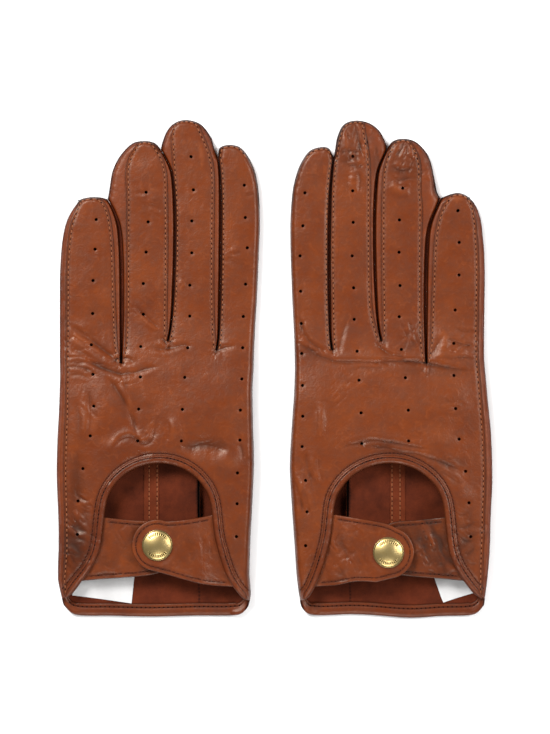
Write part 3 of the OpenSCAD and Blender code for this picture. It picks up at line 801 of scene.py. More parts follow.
class Paint:
    """A material in the making: textures, blends and bumps that feed one shader."""

    def __init__(self, name):
        self.mat = bpy.data.materials.new(name)
        self.mat.use_nodes = True
        self.tree = self.mat.node_tree
        self.tree.nodes.clear()
        out = self.tree.nodes.new("ShaderNodeOutputMaterial")
        self.shader = self.tree.nodes.new("ShaderNodeBsdfPrincipled")
        self.tree.links.new(self.shader.outputs[0], out.inputs[0])
        self.where = self.add("TexCoord").outputs["Object"]

    def put(self, socket, value):
        if isinstance(value, bpy.types.NodeSocket):
            self.tree.links.new(value, socket)
        else:
            socket.default_value = value

    def add(self, kind, **settings):
        node = self.tree.nodes.new("ShaderNode" + kind)
        for key, value in settings.items():
            if key in node.inputs:
                self.put(node.inputs[key], value)
            else:
                setattr(node, key, value)
        return node

    def tone(self):
        return self.add("Attribute", attribute_name="tone").outputs["Fac"]

    def noise(self, scale, detail, roughness=0.5, **more):
        settings = {"Vector": self.where, "Scale": scale, "Detail": detail, "Roughness": roughness, **more}
        return self.add("TexNoise", **settings).outputs["Fac"]

    def cells(self, scale, **more):
        node = self.add("TexVoronoi", Vector=self.where, Scale=scale, Randomness=1.0, **more)
        return node.outputs["Distance"]

    def mix(self, share, a, b):
        node = self.add("Mix", data_type="RGBA")
        for socket, value in ((0, share), (6, a), (7, b)):
            self.put(node.inputs[socket], value)
        return node.outputs[2]

    def ramp(self, value, a, b, to_a=0.0, to_b=1.0):
        """Stretches a value from the range a to b over the range to_a to to_b."""
        ends = {"From Min": a, "From Max": b, "To Min": to_a, "To Max": to_b}
        return self.add("MapRange", Value=value, **ends).outputs[0]

    def bump(self, height, strength, distance, over=None):
        node = self.add("Bump", Height=height, Strength=strength, Distance=distance)
        if over:
            self.put(node.inputs["Normal"], over)
        return node.outputs[0]

    def done(self, colour, normal, roughness, shine=0.5, **more):
        more.update({"Base Color": colour, "Normal": normal, "Roughness": roughness})
        more["Specular IOR Level"] = shine
        for key, value in more.items():
            if value is not None:
                self.put(self.shader.inputs[key], value)
        return self.mat


def rgb(r, g, b):
    """Linear colour from the 0 to 255 values of a screen colour."""
    def linear(c):
        c /= 255
        return c / 12.92 if c <= 0.04045 else ((c + 0.055) / 1.055) ** 2.4
    return (linear(r), linear(g), linear(b), 1.0)


def dimmed(colour, by):
    return tuple(c * by for c in colour[:3]) + (1.0,)


def leather(name, colour, deep, pale_and_highlight, roughness, shine=0.5):
    """Smooth nappa leather: fine pores, a web of tiny wrinkles and slow colour drift, with painted shade in
    folds and gaps and painted highlights on ridges, from the tone attribute."""
    p = Paint(name)
    tone = p.tone()
    drift, blotch = p.noise(38.0, 5.0, 0.62), p.noise(190.0, 5.0, 0.65)
    fine, bent = p.noise(2600.0, 3.0, 0.7), p.noise(260.0, 3.0, Distortion=1.4)
    pores, web = p.cells(1400.0), p.cells(430.0, feature="DISTANCE_TO_EDGE")
    base = colour
    # what steers the blend, where it starts and is full, how much it takes, and the colour it goes to; the
    # three tone rows are painted shade (to the deep colour, then near black) and painted highlight (to the
    # pale colour)
    steps = [(drift, 0.35, 0.7, 0.22, pale_and_highlight), (blotch, 0.36, 0.78, 0.40, deep), (bent, 0.56, 0.74, 0.16, pale_and_highlight),
             (tone, -0.03, -0.65, 0.95, deep), (tone, -0.7, -1.3, 1.0, rgb(14, 4, 2)),
             (tone, 0.12, 0.9, 0.5, pale_and_highlight)]
    for value, start, full, most, to in steps:
        base = p.mix(p.ramp(value, start, full, 0.0, most), base, to)
    dull = p.add("Math", operation="ADD")
    p.put(dull.inputs[0], p.ramp(blotch, 0.3, 0.75, roughness - 0.07, roughness + 0.12))
    p.put(dull.inputs[1], p.ramp(tone, -0.5, -1.0, 0.0, 0.4))
    webbed = p.ramp(p.ramp(drift, 0.42, 0.66), 0.0, 1.0, 0.05, 0.25)
    normal = None
    for height, strength, distance in ((pores, 0.14, 0.00012), (fine, 0.14, 0.00008),
                                       (p.ramp(web, 0.0, 0.10), webbed, 0.00010), (bent, 0.22, 0.0006),
                                       (blotch, 0.20, 0.0009)):
        normal = p.bump(height, strength, distance, normal)
    tint = {"Specular Tint": (1.0, 0.86, 0.72, 1)}
    return p.done(base, normal, dull.outputs[0], shine, IOR=1.38, **tint)


def suede(name, colour, deep):
    """The leather's flesh side: matt, with a short cloudy nap."""
    p = Paint(name)
    nap = p.noise(1500.0, 3.0, 0.8)
    base = p.mix(p.ramp(p.noise(70.0, 6.0, 0.7), 0.3, 0.7), deep, colour)
    base = p.mix(p.ramp(nap, 0.3, 0.7, 0.0, 0.3), base, deep)
    # Painted shade: near black where the tone is low, down the slit where the palm folds into the thumb
    base = p.mix(p.ramp(p.tone(), -0.05, -0.8, 0.0, 0.9), base, rgb(26, 9, 5))
    return p.done(base, p.bump(nap, 0.4, 0.0003), 0.92, 0.12)


def thread(name, colour):
    """Twisted sewing thread."""
    p = Paint(name)
    ply = p.add("TexWave", Vector=p.where, Scale=900.0, Distortion=1.5).outputs["Fac"]
    return p.done(p.mix(ply, dimmed(colour, 0.7), colour), p.bump(ply, 0.4, 0.0001), 0.65, 0.15)


def plain_dark(name, colour):
    """Raw cut edges, and the painted shade of needle holes and of the thumb's slit."""
    p = Paint(name)
    return p.done(p.mix(p.noise(900.0, 2.0), dimmed(colour, 0.5), colour), None, 0.85, 0.1)


def antique_brass(name):
    """Brushed brass, with a brown patina that gathers in its grooves and towards its rim."""
    p = Paint(name)
    spots = p.noise(420.0, 5.0, 0.7)
    base = p.mix(p.ramp(spots, 0.3, 0.75), rgb(204, 180, 124), rgb(152, 127, 75))
    base = p.mix(p.ramp(p.tone(), 0.0, -1.0), base, rgb(52, 38, 18))
    scratch = p.bump(p.noise(1800.0, 2.0), 0.12, 0.0001)
    return p.done(base, scratch, p.ramp(spots, 0.3, 0.75, 0.28, 0.42), Metallic=1.0)


def satin(name):
    """Woven satin tape."""
    p = Paint(name)
    weave = p.add("TexWave", Vector=p.where, Scale=1100.0, Distortion=0.6, Detail=1.0).outputs["Fac"]
    base = p.mix(p.noise(90.0, 3.0), rgb(184, 182, 181), rgb(222, 221, 220))
    base = p.mix(p.ramp(weave, 0.0, 1.0, 0.0, 0.12), base, rgb(150, 146, 144))
    return p.done(base, p.bump(weave, 0.25, 0.0001), 0.38, **{"Sheen Weight": 0.3})


# Each leather: its colour, a darker colour for blotches and for painted shade, a paler colour for drift and
# for painted highlights, and its roughness
COLOURS = {"cognac_leather": (rgb(94, 38, 10), rgb(48, 16, 4), rgb(150, 76, 34), 0.37),
           "side_strip_leather": (rgb(98, 39, 10), rgb(44, 14, 4), rgb(140, 70, 31), 0.42),
           "binding_leather": (rgb(86, 33, 9), rgb(36, 11, 3), rgb(146, 74, 36), 0.36)}
COGNAC, STRIP, BINDING = [leather(name, *look) for name, look in COLOURS.items()]
# The same leathers without shine, for the faces that look sideways over the pale floor
MATT = {name: leather(name + "_side", *look, shine=0.06) for name, look in COLOURS.items()}
SUEDE = suede("suede_inside", rgb(97, 40, 19), rgb(62, 23, 10))
TAPE = suede("seam_tape", rgb(106, 46, 22), rgb(80, 32, 14))
CUT_EDGE = plain_dark("cut_edge", rgb(50, 19, 10))
# Near black painted shade: the needle holes, and the fold of the thumb's slit
HOLE_SHADE = plain_dark("needle_hole_shade", rgb(20, 6, 3))
THREAD = thread("seam_thread", rgb(148, 90, 58))
# Thread of the leather's colour, darkened as painted shade of the channel it sinks into: straps, binding and
# hem
SHADED_THREAD = thread("strap_thread_shaded", rgb(76, 30, 13))
PALE_THREAD = thread("inner_thread", rgb(164, 104, 68))
BRASS = antique_brass("antique_brass")
SATIN = satin("satin_label")
SHEET = [COGNAC, SUEDE, CUT_EDGE]              # face, inside and cut edge
BOUND = [BINDING, SUEDE, CUT_EDGE]


# ---------------------------------------------------------------- pieces

def matt_sides(obj):
    """Gives the leather that looks sideways its matt twin: it would mirror the floor as a grey rim."""
    mesh = obj.data
    index = np.zeros(len(mesh.polygons), np.int32)
    mesh.polygons.foreach_get("material_index", index)
    facing = np.zeros(3 * len(mesh.polygons), np.float32)
    mesh.polygons.foreach_get("normal", facing)
    sideways = np.abs(facing[2::3]) < 0.62
    for k, material in enumerate(list(mesh.materials)):
        if material.name in MATT:
            index[sideways & (index == k)] = len(mesh.materials)
            mesh.materials.append(MATT[material.name])
    mesh.polygons.foreach_set("material_index", index)


def settle(obj, side, nodes):
    if nodes:
        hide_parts(*[f"{side}_{n}" for n in nodes])


def fixed(obj, side, body, slot, *nodes):
    """Rides the piece on its body and hides the CAD nodes it stands for; its slot is not used."""
    matt_sides(obj)
    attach(obj, f"{side}_{body}")
    settle(obj, side, nodes)


def bend(obj, side, body, slot, *nodes):
    """For a piece of a moving body: bakes its place into its mesh and hides the CAD nodes it stands for. The
    ends of the body's bend are worked out but not used, the piece is not ridden on the body, and its slot is
    not used.
    """
    mirror = -1 if side == "left" else 1
    start, end = [(mirror * x * MM, y * MM, z * MM) for x, y, z in BENDS[body]]
    matt_sides(obj)
    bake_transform(obj)
    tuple(start)
    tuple(end)
    settle(obj, side, nodes)


def down(path):
    return path[::-1]


def even(path, step=0.5):
    """The same way, evenly pointed, with its corners softened so that it can be set in."""
    path = resample(path, step)
    for _ in range(3):
        path[1:-1] = 0.25 * path[:-2] + 0.5 * path[1:-1] + 0.25 * path[2:]
    return path


def ring_of(*paths):
    """A closed outline from stretches laid end to end, evenly pointed, with its corners kept."""
    paths = [np.array(q, float) for q in paths]
    corners = []
    for k, path in enumerate(paths):
        after = paths[(k + 1) % len(paths)][:1]
        corners.append(resample(np.vstack([path, after]), 0.6)[:-1])
    path = np.vstack(corners)
    keep = np.linalg.norm(path - np.roll(path, 1, axis=0), axis=1) > 0.05
    return path[keep]


def circle(at, r, n=16):
    return np.array([(at[0] + r * math.cos(a), at[1] + r * math.sin(a))
                     for a in np.linspace(0, 2 * math.pi, n + 1)[:-1]])


def sheet(name, side, outline, materials, height, step=0.7, holes=(), depth=LEATHER, flip=False):
    """A leather sheet over a plan outline. height(points) gives z and tone."""
    plan, faces = triangulate([outline, *holes], step=step)
    z, tone = height(plan)
    obj = build(name, side, np.column_stack([plan, z]), faces, materials, tone, flip=flip)
    thicken(obj, depth)
    return obj


def punched(outline, side):
    return [circle(h, HOLE_R) for h in HOLES[side][inside(HOLES[side], outline)]]


def stitches(name, side, rows, material=THREAD):
    v, f = joined([row[:2] for row in rows])
    return build(name, side, v, f, [material, HOLE_SHADE], index=[i for row in rows for i in row[2]])


# Where the columns of a side strip lie, as shares of the way across
ACROSS = (0, 0.12, 0.24, 0.36, 0.48, 0.6, 0.7, 0.8, 0.88, 0.94, 0.98, 1.0)


def side_strip(name, side, inner, outer, flip=False):
    """A finger's side leather, from under a panel's edge down to where it meets the underside."""
    count = max(len(resample(inner, 0.6)), len(resample(outer, 0.6)))
    a = resample(inner, lengths(inner)[-1] / (count - 1))
    b = resample(outer, lengths(outer)[-1] / (count - 1))
    n = min(len(a), len(b))
    share = np.array(ACROSS)[None, :, None]
    flat = (a[:n, None] * (1 - share) + b[:n, None] * share).reshape(-1, 2)
    z, tone = top_z(flat, side)
    grid = np.column_stack([flat, z - 0.6]).reshape(n, -1, 3)
    grid[:, -1, 2] = middle_z(grid[:, -1, :2])
    v, f = loft(grid)
    return build(name, side, v, f, [STRIP], tone + 0.06, flip=flip)


def tip_between(tip, x0, x1):
    return tip[(tip[:, 0] > x0 + 0.1) & (tip[:, 0] < x1 - 0.1)]


def finger_plan(finger, side):
    """Plan of one finger: its outline, its back panel, the outer edges of its two side strips,
    and the seam that runs round its back."""
    gaps = list(GAP.values())
    clear = np.array([0.04, 0])
    index_side, little_side = [above(resample(q, 0.25), ROOT_Y + 0.1) for q in (INDEX_SIDE, LITTLE_SIDE)]
    k = FINGERS.index(finger)
    if finger == "index":
        left = np.vstack([on(INDEX_EDGE, ROOT_Y), index_side])
        root = [[CROTCH_X[0], ROOT_Y]]
        outer = [None, gaps[0] - clear]
        whole = (left, down(gaps[0] - clear), root)
        panel = (left, down(INDEX_PANEL), root)
        seam = np.vstack([above(index_side, 104), down(INDEX_PANEL)])
    elif finger == "little":
        left, right = LITTLE_PANEL
        gap = gaps[2] + clear
        tip = above(little_side, 80)
        top = tip_between(tip, left[-1, 0], right[0, 0])
        root, end = [[CROTCH_X[2], ROOT_Y]], on(LITTLE_EDGE, ROOT_Y)
        outer = [np.vstack([gap, tip[tip[:, 0] < left[-1, 0]]]),
                 down(np.vstack([little_side[little_side[:, 0] > right[0, 0]], end]))]
        whole = (root, gap, little_side[little_side[:, 0] > 83.2], end)
        panel = (root, left, top, above(right, ROOT_Y), on(right, ROOT_Y))
        seam = np.vstack([left, top, right])
    else:
        left, right = MIDDLE_PANEL[side] if finger == "middle" else RING_PANEL
        tip = MIDDLE_TIP if finger == "middle" else RING_TIP
        before, after = gaps[k - 1], gaps[k]
        top = tip_between(tip, left[-1, 0], right[-1, 0])
        start, end = [[[x, ROOT_Y]] for x in CROTCH_X[k - 1:k + 1]]
        early = (tip[:, 0] < left[-1, 0]) & (tip[:, 0] > before[-1, 0] + 0.2)
        late = (tip[:, 0] > right[-1, 0]) & (tip[:, 0] < after[-1, 0] - 0.2)
        outer = [np.vstack([before + clear, tip[early]]), np.vstack([after - clear, down(tip[late])])]
        whole = (start, before + clear, tip[1:-1], down(after - clear), end)
        panel = (start, left, top, down(right), end)
        seam = np.vstack([left, top, down(right)])
    return ring_of(*whole), ring_of(*panel), outer, even(seam)


def panel_edges(side):
    """Every panel edge of a glove's back, with +1 where the panel is on the right of its way."""
    middle = MIDDLE_PANEL[side]
    return [(INDEX_PANEL, -1), (middle[0], 1), (middle[1], -1), (RING_PANEL[0], 1), (RING_PANEL[1], -1),
            (LITTLE_PANEL[0], 1), (LITTLE_PANEL[1], 1)]


def grooves(side):
    """The channels that rows of stitches pull into the leather: path, offset to its left, width, depth."""
    rows = [(path, -way * SEAM_IN, 0.6, 0.26) for path, way in panel_edges(side)]
    return rows + [(OPENING, OPENING_IN, 0.7, 0.34)]


def lap_under(p, z, by=0.02):
    """Where a finger piece slips under the hand's leather it lies a hair lower."""
    return z - by * smooth((SPLIT_Y + 0.05 - p[:, 1]) / 0.1)


def fingers(side):
    seams = grooves(side)

    def upper(p):
        z, tone = top_z(p, side, seams)
        return lap_under(p, z), tone

    def under(p):
        return lap_under(p, under_z(p), -0.02), 0.1 * lattice(p, 9, 21)

    strip_nodes = {"index": [None, ["index_fourchette"]],
                   "middle": [["middle_index_side_fourchette"], ["middle_ring_side_fourchette"]],
                   "ring": [["ring_middle_side_fourchette"], ["ring_little_side_fourchette"]],
                   "little": [["little_fourchette"], []]}
    edges_of = {"index": [None, INDEX_PANEL], "middle": MIDDLE_PANEL[side], "ring": RING_PANEL,
                "little": [LITTLE_PANEL[0], down(LITTLE_PANEL[1])]}
    for finger in FINGERS:
        whole, panel, outer, seam = finger_plan(finger, side)
        holes = punched(panel, side)
        back = sheet(f"{finger}_back_leather", side, panel, SHEET, upper, holes=holes, depth=0.7)
        bend(back, side, finger, "cognac_leather", f"{finger}_back")
        front = sheet(f"{finger}_front_leather", side, whole, SHEET, under, step=1.2, depth=0.7, flip=True)
        bend(front, side, finger, "cognac_leather", f"{finger}_palm")
        for k, (way, place) in enumerate(((1, "inner"), (-1, "outer"))):
            if outer[k] is None:
                continue
            edge = aside(above(edges_of[finger][k], ROOT_Y), way * 0.9)
            strip = side_strip(f"{finger}_{place}_side_strip", side, edge, outer[k], flip=(k == 1))
            bend(strip, side, finger, "cognac_leather", *strip_nodes[finger][k])
        row = above(aside(seam, SEAM_IN), SPLIT_Y)
        rows = [run_of_stitches(row, STITCH, lambda q: top_z(q, side, seams)[0]),
                run_of_stitches(even(ring_line(whole)), STITCH, lambda q: under_z(q) + 0.1, up=-1)]
        bend(stitches(f"{finger}_stitches", side, rows), side, finger, "cognac_leather")


def ring_line(outline):
    """The seam round the underside of a finger, from one crotch to the other."""
    start = int(np.argmin(outline[:, 1] + 0.2 * outline[:, 0]))
    path = np.roll(outline, -start, axis=0)
    path = above(path, BEND_END_Y - 8)
    way = 1 if path[0, 0] < path[-1, 0] else -1
    return aside(even(path), 1.5 * way)


def hand(side):
    def upper(p):
        return top_z(p, side, grooves(side))

    left = above(below(resample(INDEX_SIDE, 0.25), SPLIT_Y), OPENING[0, 1] - 0.4)
    left = left[left[:, 0] < 14]
    seam = above(below(resample(LITTLE_PANEL[1], 0.25), SPLIT_Y), OPENING[-1, 1] - 0.2)
    corner = on(LITTLE_PANEL[1], SPLIT_Y)
    outline = ring_of(left, on(INDEX_EDGE, SPLIT_Y), corner, seam, down(OPENING))
    back = sheet("hand_back_leather", side, outline, SHEET, upper, holes=punched(outline, side))
    fixed(back, side, "hand", "cognac_leather", "back_panel")
    # The palm leather wraps round the little-finger side as far as the seam on the back
    inner = np.vstack([corner, below(LITTLE_PANEL[1], SPLIT_Y)])
    outer = np.vstack([on(LITTLE_EDGE, SPLIT_Y), above(below(LITTLE_SIDE, SPLIT_Y), -116)])
    fixed(side_strip("side_wrap", side, aside(inner, 0.9), outer), side, "hand", "cognac_leather")
    row = below(aside(even(LITTLE_PANEL[1]), SEAM_IN), SPLIT_Y)
    around = aside(even(OPENING), -OPENING_IN)[6:-6]
    rows = [run_of_stitches(row, STITCH, lambda q: upper(q)[0])]
    fixed(stitches("hand_stitches", side, rows), side, "hand", "cognac_leather")
    rows = [run_of_stitches(around, BIND_STITCH, lambda q: upper(q)[0], length=1.3, radius=0.34)]
    fixed(stitches("opening_stitches", side, rows, SHADED_THREAD), side, "hand", "cognac_leather")


def palm(side):
    """The palm: two sheets with a taped seam between them and a hole for the thumb."""
    def under(p):
        # Painted shade down the slit where the palm folds into the thumb
        slit = -0.9 * bell((p[:, 0] - SLIT_X) / 0.45) * smooth((-46 - p[:, 1]) / 6)
        z = under_z(p) + 0.22 * lattice(p, 15, 31) + 0.12 * lattice(p, 5, 32)
        return z, 0.25 * lattice(p, 9, 21) + slit

    seam = ([[SEAM_X, SPLIT_Y]], [[SEAM_X, CUFF_Y]])
    thumb_part = ring_of(below(INDEX_SIDE, SPLIT_Y), on(INDEX_EDGE, SPLIT_Y), *seam)
    little_part = ring_of(*down(seam), on(LITTLE_EDGE, SPLIT_Y), below(LITTLE_SIDE, SPLIT_Y))
    parts = [("palm_thumb_side", thumb_part, [THUMB_MOUTH]), ("palm_little_side", little_part, [])]
    for name, plan, holes in parts:
        obj = sheet(name + "_leather", side, plan, SHEET, under, step=1.0, holes=holes, depth=PALM, flip=True)
        fixed(obj, side, "hand", "suede_inside", name)
    # The tape over the seam, inside
    tape = ring_of([[57.4, -100]], [[57.4, -30]], [[65.0, -30]], [[65.0, -100]])

    def tape_z(p):
        rim = rounded(nearest(p, np.vstack([tape, tape[:1]]))[0], 0.8)
        dip = sum(0.18 * bell((p[:, 0] - x) / 0.5) for x in TAPE_ROWS)
        return palm_top(p) + 0.22 * lattice(p, 15, 31) + 0.25 + 0.3 * rim - dip, 0.2 * lattice(p, 6, 41)

    strip = sheet("palm_seam_tape", side, tape, [TAPE, TAPE, CUT_EDGE], tape_z, depth=0.4)
    fixed(strip, side, "hand", "suede_inside")
    ways = [np.array([[x, -99.0], [x, -31.0]]) for x in TAPE_ROWS]
    rows = [run_of_stitches(way, 2.3, lambda q: tape_z(q)[0], length=2.1, radius=0.16) for way in ways]
    fixed(stitches("palm_tape_stitches", side, rows, PALE_THREAD), side, "hand", "suede_inside")
    ways = [np.array([[x, -116.0], [x, SPLIT_Y - 1]]) for x in (SEAM_X - 1.3, SEAM_X + 1.3)]
    rows = [run_of_stitches(way, STITCH, lambda q: under(q)[0], up=-1) for way in ways]
    fixed(stitches("palm_stitches", side, rows), side, "hand", "cognac_leather")


def ends(path, share):
    """1 along a path, falling to 0 over a share of it at both its ends."""
    t = lengths(path) / lengths(path)[-1]
    return smooth(t / share) * smooth((1 - t) / share)


def moulding(name, side, path, profile, tones, width, least, height):
    """A rolled edge whose profile is carried along a path, width times as wide at each point of it.
    height(points, lift) gives z; the points are at least least millimetres in from the path."""
    rows = []
    for out, lift in profile:
        line = path + normals(path) * (-out * width)[:, None]
        base = path + normals(path) * (-max(out, least) * width)[:, None]
        rows.append(np.column_stack([line, height(base, lift)]))
    v, f = loft(np.array(rows).transpose(1, 0, 2))
    obj = build(name + "_leather", side, v, f, BOUND, np.tile(tones, len(path)), flip=True)
    fixed(obj, side, "hand", "binding_leather", name)


def binding(side):
    """The rolled tape round the opening, and the hem of the cuff that carries on from it."""
    path = even(OPENING, 0.8)
    slim = 0.25 + 0.75 * ends(path, 0.03)
    uneven = 0.10 * np.random.default_rng(9).standard_normal(160)
    wave = np.interp(lengths(path), np.arange(0, 400, 2.5), uneven)

    def tape_z(base, lift):
        return top_z(base, side)[0] + lift * (0.4 + 0.6 * slim) + (wave if lift > 0.2 else 0)

    def on_binding(q):
        d = nearest(q, path)[0]
        return top_z(q, side)[0] + np.interp(d, [0, 1.2, 2.3, 3.0], [0.5, 0.85, 0.62, 0.7])

    moulding("opening_binding", side, path, BIND_PROFILE, BIND_TONE, slim, 0.2, tape_z)
    rows = [run_of_stitches(aside(path, -2.3)[7:-7], BIND_STITCH, on_binding, length=1.3, radius=0.34)]
    fixed(stitches("binding_stitches", side, rows, SHADED_THREAD), side, "hand", "binding_leather")

    hem = even(HEM, 0.8)
    width = 0.45 + 0.55 * ends(hem, 0.14)
    moulding("cuff_hem", side, hem, HEM_PROFILE, HEM_TONE, width, 0.6, lambda q, lift: palm_top(q) + lift)
    row = hem + normals(hem) * (-4.2 * width)[:, None]
    rows = [run_of_stitches(row[8:-8], 2.2, lambda q: palm_top(q) + 0.85, length=1.5)]
    fixed(stitches("hem_stitches", side, rows, SHADED_THREAD), side, "hand", "binding_leather")


def flap(name, side, outline, top, rows, patches, shade):
    """A strap of folded leather: rounded edges, wrinkles, and a channel under each row of stitches."""
    closed = np.vstack([outline, outline[:1]])

    def height(p):
        d = nearest(p, closed)[0]
        z = top(p) - 0.5 * (1 - rounded(d, 0.9)) + 0.10 * lattice(p, 6, 51) + 0.05 * lattice(p, 2.2, 52)
        # Tone: painted shade along the rolled edges and in the stitch channels, and the wrinkles' painted
        # shade and highlight
        tone = 0.15 * lattice(p, 5, 53) - 0.5 * bell(d / 0.3) + shade
        fine, marks = wrinkled(p, patches)
        z += fine * smooth(d / 2)
        tone += 1.2 * marks
        for row in rows:
            e = nearest(p, row)[0]
            z -= 0.22 * bell(e / 0.5)
            tone -= 0.40 * bell(e / 0.6)
        return z, tone

    obj = sheet(name, side, outline, SHEET, height, depth=1.1, step=0.8)
    threads = [run_of_stitches(row, 2.3, lambda q: height(q)[0], length=1.5, radius=0.32) for row in rows]
    return obj, threads


def rising(p, side, root, over, top):
    """Height of a strap that comes out from under the back's leather at its root and rises to its top."""
    start = top_z(p, side)[0] - 1.3
    share = smooth((nearest(p, np.array(root, float))[0] - 1) / over)
    return start + (top - start) * share


def straps(side):
    """The over strap with its round end, and the under strap that it snaps to."""
    sx, sy = SNAP[side]
    turn = np.radians(np.linspace(STRAP_END_FROM[side], -75, 36))
    end = np.column_stack([sx + STRAP_END_R * np.cos(turn), sy + STRAP_END_R * np.sin(turn)])
    upper_edge = curve(STRAP_UPPER[side])[:-1]
    lower_edge = curve([(sx - 6, sy - 14.6), (40, -105.4), (30, -107.4), (19.6, -108.2)])
    row = aside(even(np.vstack([upper_edge, end, lower_edge])), 2.0)[8:-8]

    def strap_top(p):
        dent = bell((np.hypot(p[:, 0] - sx, p[:, 1] - sy) - 8.6) / 1.2)
        return rising(p, side, STRAP_ROOT, 15, STRAP_TOP) - 0.25 * dent

    outline = ring_of(upper_edge, end, lower_edge)
    obj, threads = flap("snap_strap_leather", side, outline, strap_top, [row], STRAP_WRINKLES[side], 0.0)
    bend(obj, side, "strap", "cognac_leather", "snap_strap")
    bend(stitches("snap_strap_stitches", side, threads, SHADED_THREAD), side, "strap", "cognac_leather")

    upper_edge = curve([(85.8, -73.4), (80, -74.2), (70, -75.2), (60, -76.0), (52, -78.6)])
    end = curve([(52, -78.6), (46.5, -83.6), (44.6, -89), (46.4, -95), (51, -99.4)])
    lower_edge = curve([(51, -99.4), (62, -102.2), (76, -103.6), (86, -104.4), (94.6, -105.4)])
    outline = down(ring_of(upper_edge, end[1:], lower_edge[1:]))
    rows = [aside(even(upper_edge), -2.0)[8:], aside(even(lower_edge), -2.0)[:-8]]

    def tab_top(p):
        return rising(p, side, TAB_ROOT, 12, TAB_TOP)

    obj, threads = flap("strap_tab_leather", side, outline, tab_top, rows, TAB_WRINKLES[side], TAB_TONE[side])
    bend(obj, side, "tab", "binding_leather", "strap_tab")
    bend(stitches("strap_tab_stitches", side, threads, SHADED_THREAD), side, "tab", "binding_leather")


def milled(r, angles):
    """Short radial cuts in two arcs of the cap's border."""
    turn = np.degrees(angles)
    in_arc = np.abs(turn % 180 - 90) < 52
    cut = np.round(turn / 1.667).astype(int) % 6 < 4
    return (4.7 < r < 6.2) * 1.0 * in_arc * cut


def turned(node, side, body, z, profile, tones, segments=96, marks=None):
    """A round brass piece of the snap, turned from a profile of radius and height."""
    angles = np.linspace(0, 2 * math.pi, segments + 1)[:-1]
    x, y = SNAP[side]
    rows, tone = [], []
    for (r, h), shade in zip(profile, tones):
        dip = marks(r, angles) if marks else np.zeros(segments)
        rows.append(np.column_stack([x + r * np.cos(angles), y + r * np.sin(angles), z + h - 0.06 * dip]))
        tone.append(np.full(segments, shade) - 0.85 * dip)
    v, f = loft(np.array(rows), closed_cols=True)
    end = len(v)
    faces = [tuple(q) for q in f] + [tuple(range(end - 1, end - segments - 1, -1))]
    piece = build(node + "_brass", side, v, faces, [BRASS], np.concatenate(tone), flip=True)
    fixed(piece, side, body, "antique_brass", node)


# The snap's cap: its rolled border, then the dome inside it. The other three pieces follow.
CAP = [(7.2, -0.25), (7.55, 0.0), (7.6, 0.3), (7.45, 0.55), (7.25, 0.62), (7.1, 0.55)]
CAP += [(r, 0.42 + 1.55 * (1 - (r / 7.2) ** 2)) for r in
        (6.9, 6.6, 6.2, 5.9, 5.6, 5.3, 5.0, 4.8, 4.6, 4.2, 3.6, 3.0, 2.4, 1.8, 1.2, 0.6, 0.2)]
CAP_TONE = [-0.95, -0.8, -0.35, -0.1, -0.5, -0.8, -0.35] + [0.0] * 16
SOCKET = [(5.6, 1.6), (5.7, 1.3), (5.5, 0.9), (4.4, 0.7), (4.2, 0.2), (3.9, 0.0), (2.6, 0.0), (2.3, 0.25),
          (2.2, 1.3), (1.0, 1.4)]
STUD = [(5.4, 0.0), (5.5, 0.15), (5.3, 0.3), (2.4, 0.42), (1.9, 0.6), (1.75, 0.9), (2.0, 1.15), (1.9, 1.4),
        (1.2, 1.5), (0.3, 1.5)]
POST = [(0.3, 0.0), (3.2, 0.05), (3.6, 0.2), (3.6, 0.5), (3.3, 0.72), (0.5, 0.75)]


def snap(side):
    turned("snap_cap", side, "strap", STRAP_TOP, CAP, CAP_TONE, segments=216, marks=milled)
    inner = [("snap_socket", "strap", SOCKET, [0, 0, 0, -0.4, 0, 0, 0, -0.4, -0.8, -0.9]),
             ("snap_stud", "tab", STUD, [-0.3, 0, 0, -0.5, -0.4, -0.5, 0, 0, 0, 0]),
             ("snap_post", "tab", POST, [0, 0, -0.2, -0.2, -0.3, -0.4])]
    for node, body, profile, tones in inner:
        turned(node, side, body, low("right_" + node, 2), profile, tones)


def label(side):
    """The blank woven label, sewn to the palm beside the hem."""
    corners, flat = LABEL[side]
    a, b, c, d = np.array(corners, float)
    n, m = 40, 18
    u, w = np.meshgrid(np.linspace(0, 1, n), np.linspace(0, 1, m), indexing="ij")
    u, w = u.reshape(-1, 1), w.reshape(-1, 1)
    plan = a * (1 - u) * (1 - w) + b * u * (1 - w) + c * u * w + d * (1 - u) * w
    u, w = u[:, 0], w[:, 0]
    wave = 0.22 * np.sin(9 * u + 2 * w) * (0.3 + w) + 0.12 * lattice(plan, 4, 61)
    z = palm_top(plan) + 0.55 + 0.9 * w * (1 - u) + wave * 0.6
    v, f = loft(np.column_stack([plan, z]).reshape(n, m, 3))
    obj = build("woven_label", side, v, f, [SATIN, SATIN, SATIN], flip=True)
    thicken(obj, 0.18, 0, 0)
    fixed(obj, side, "hand", "satin_label", "label")


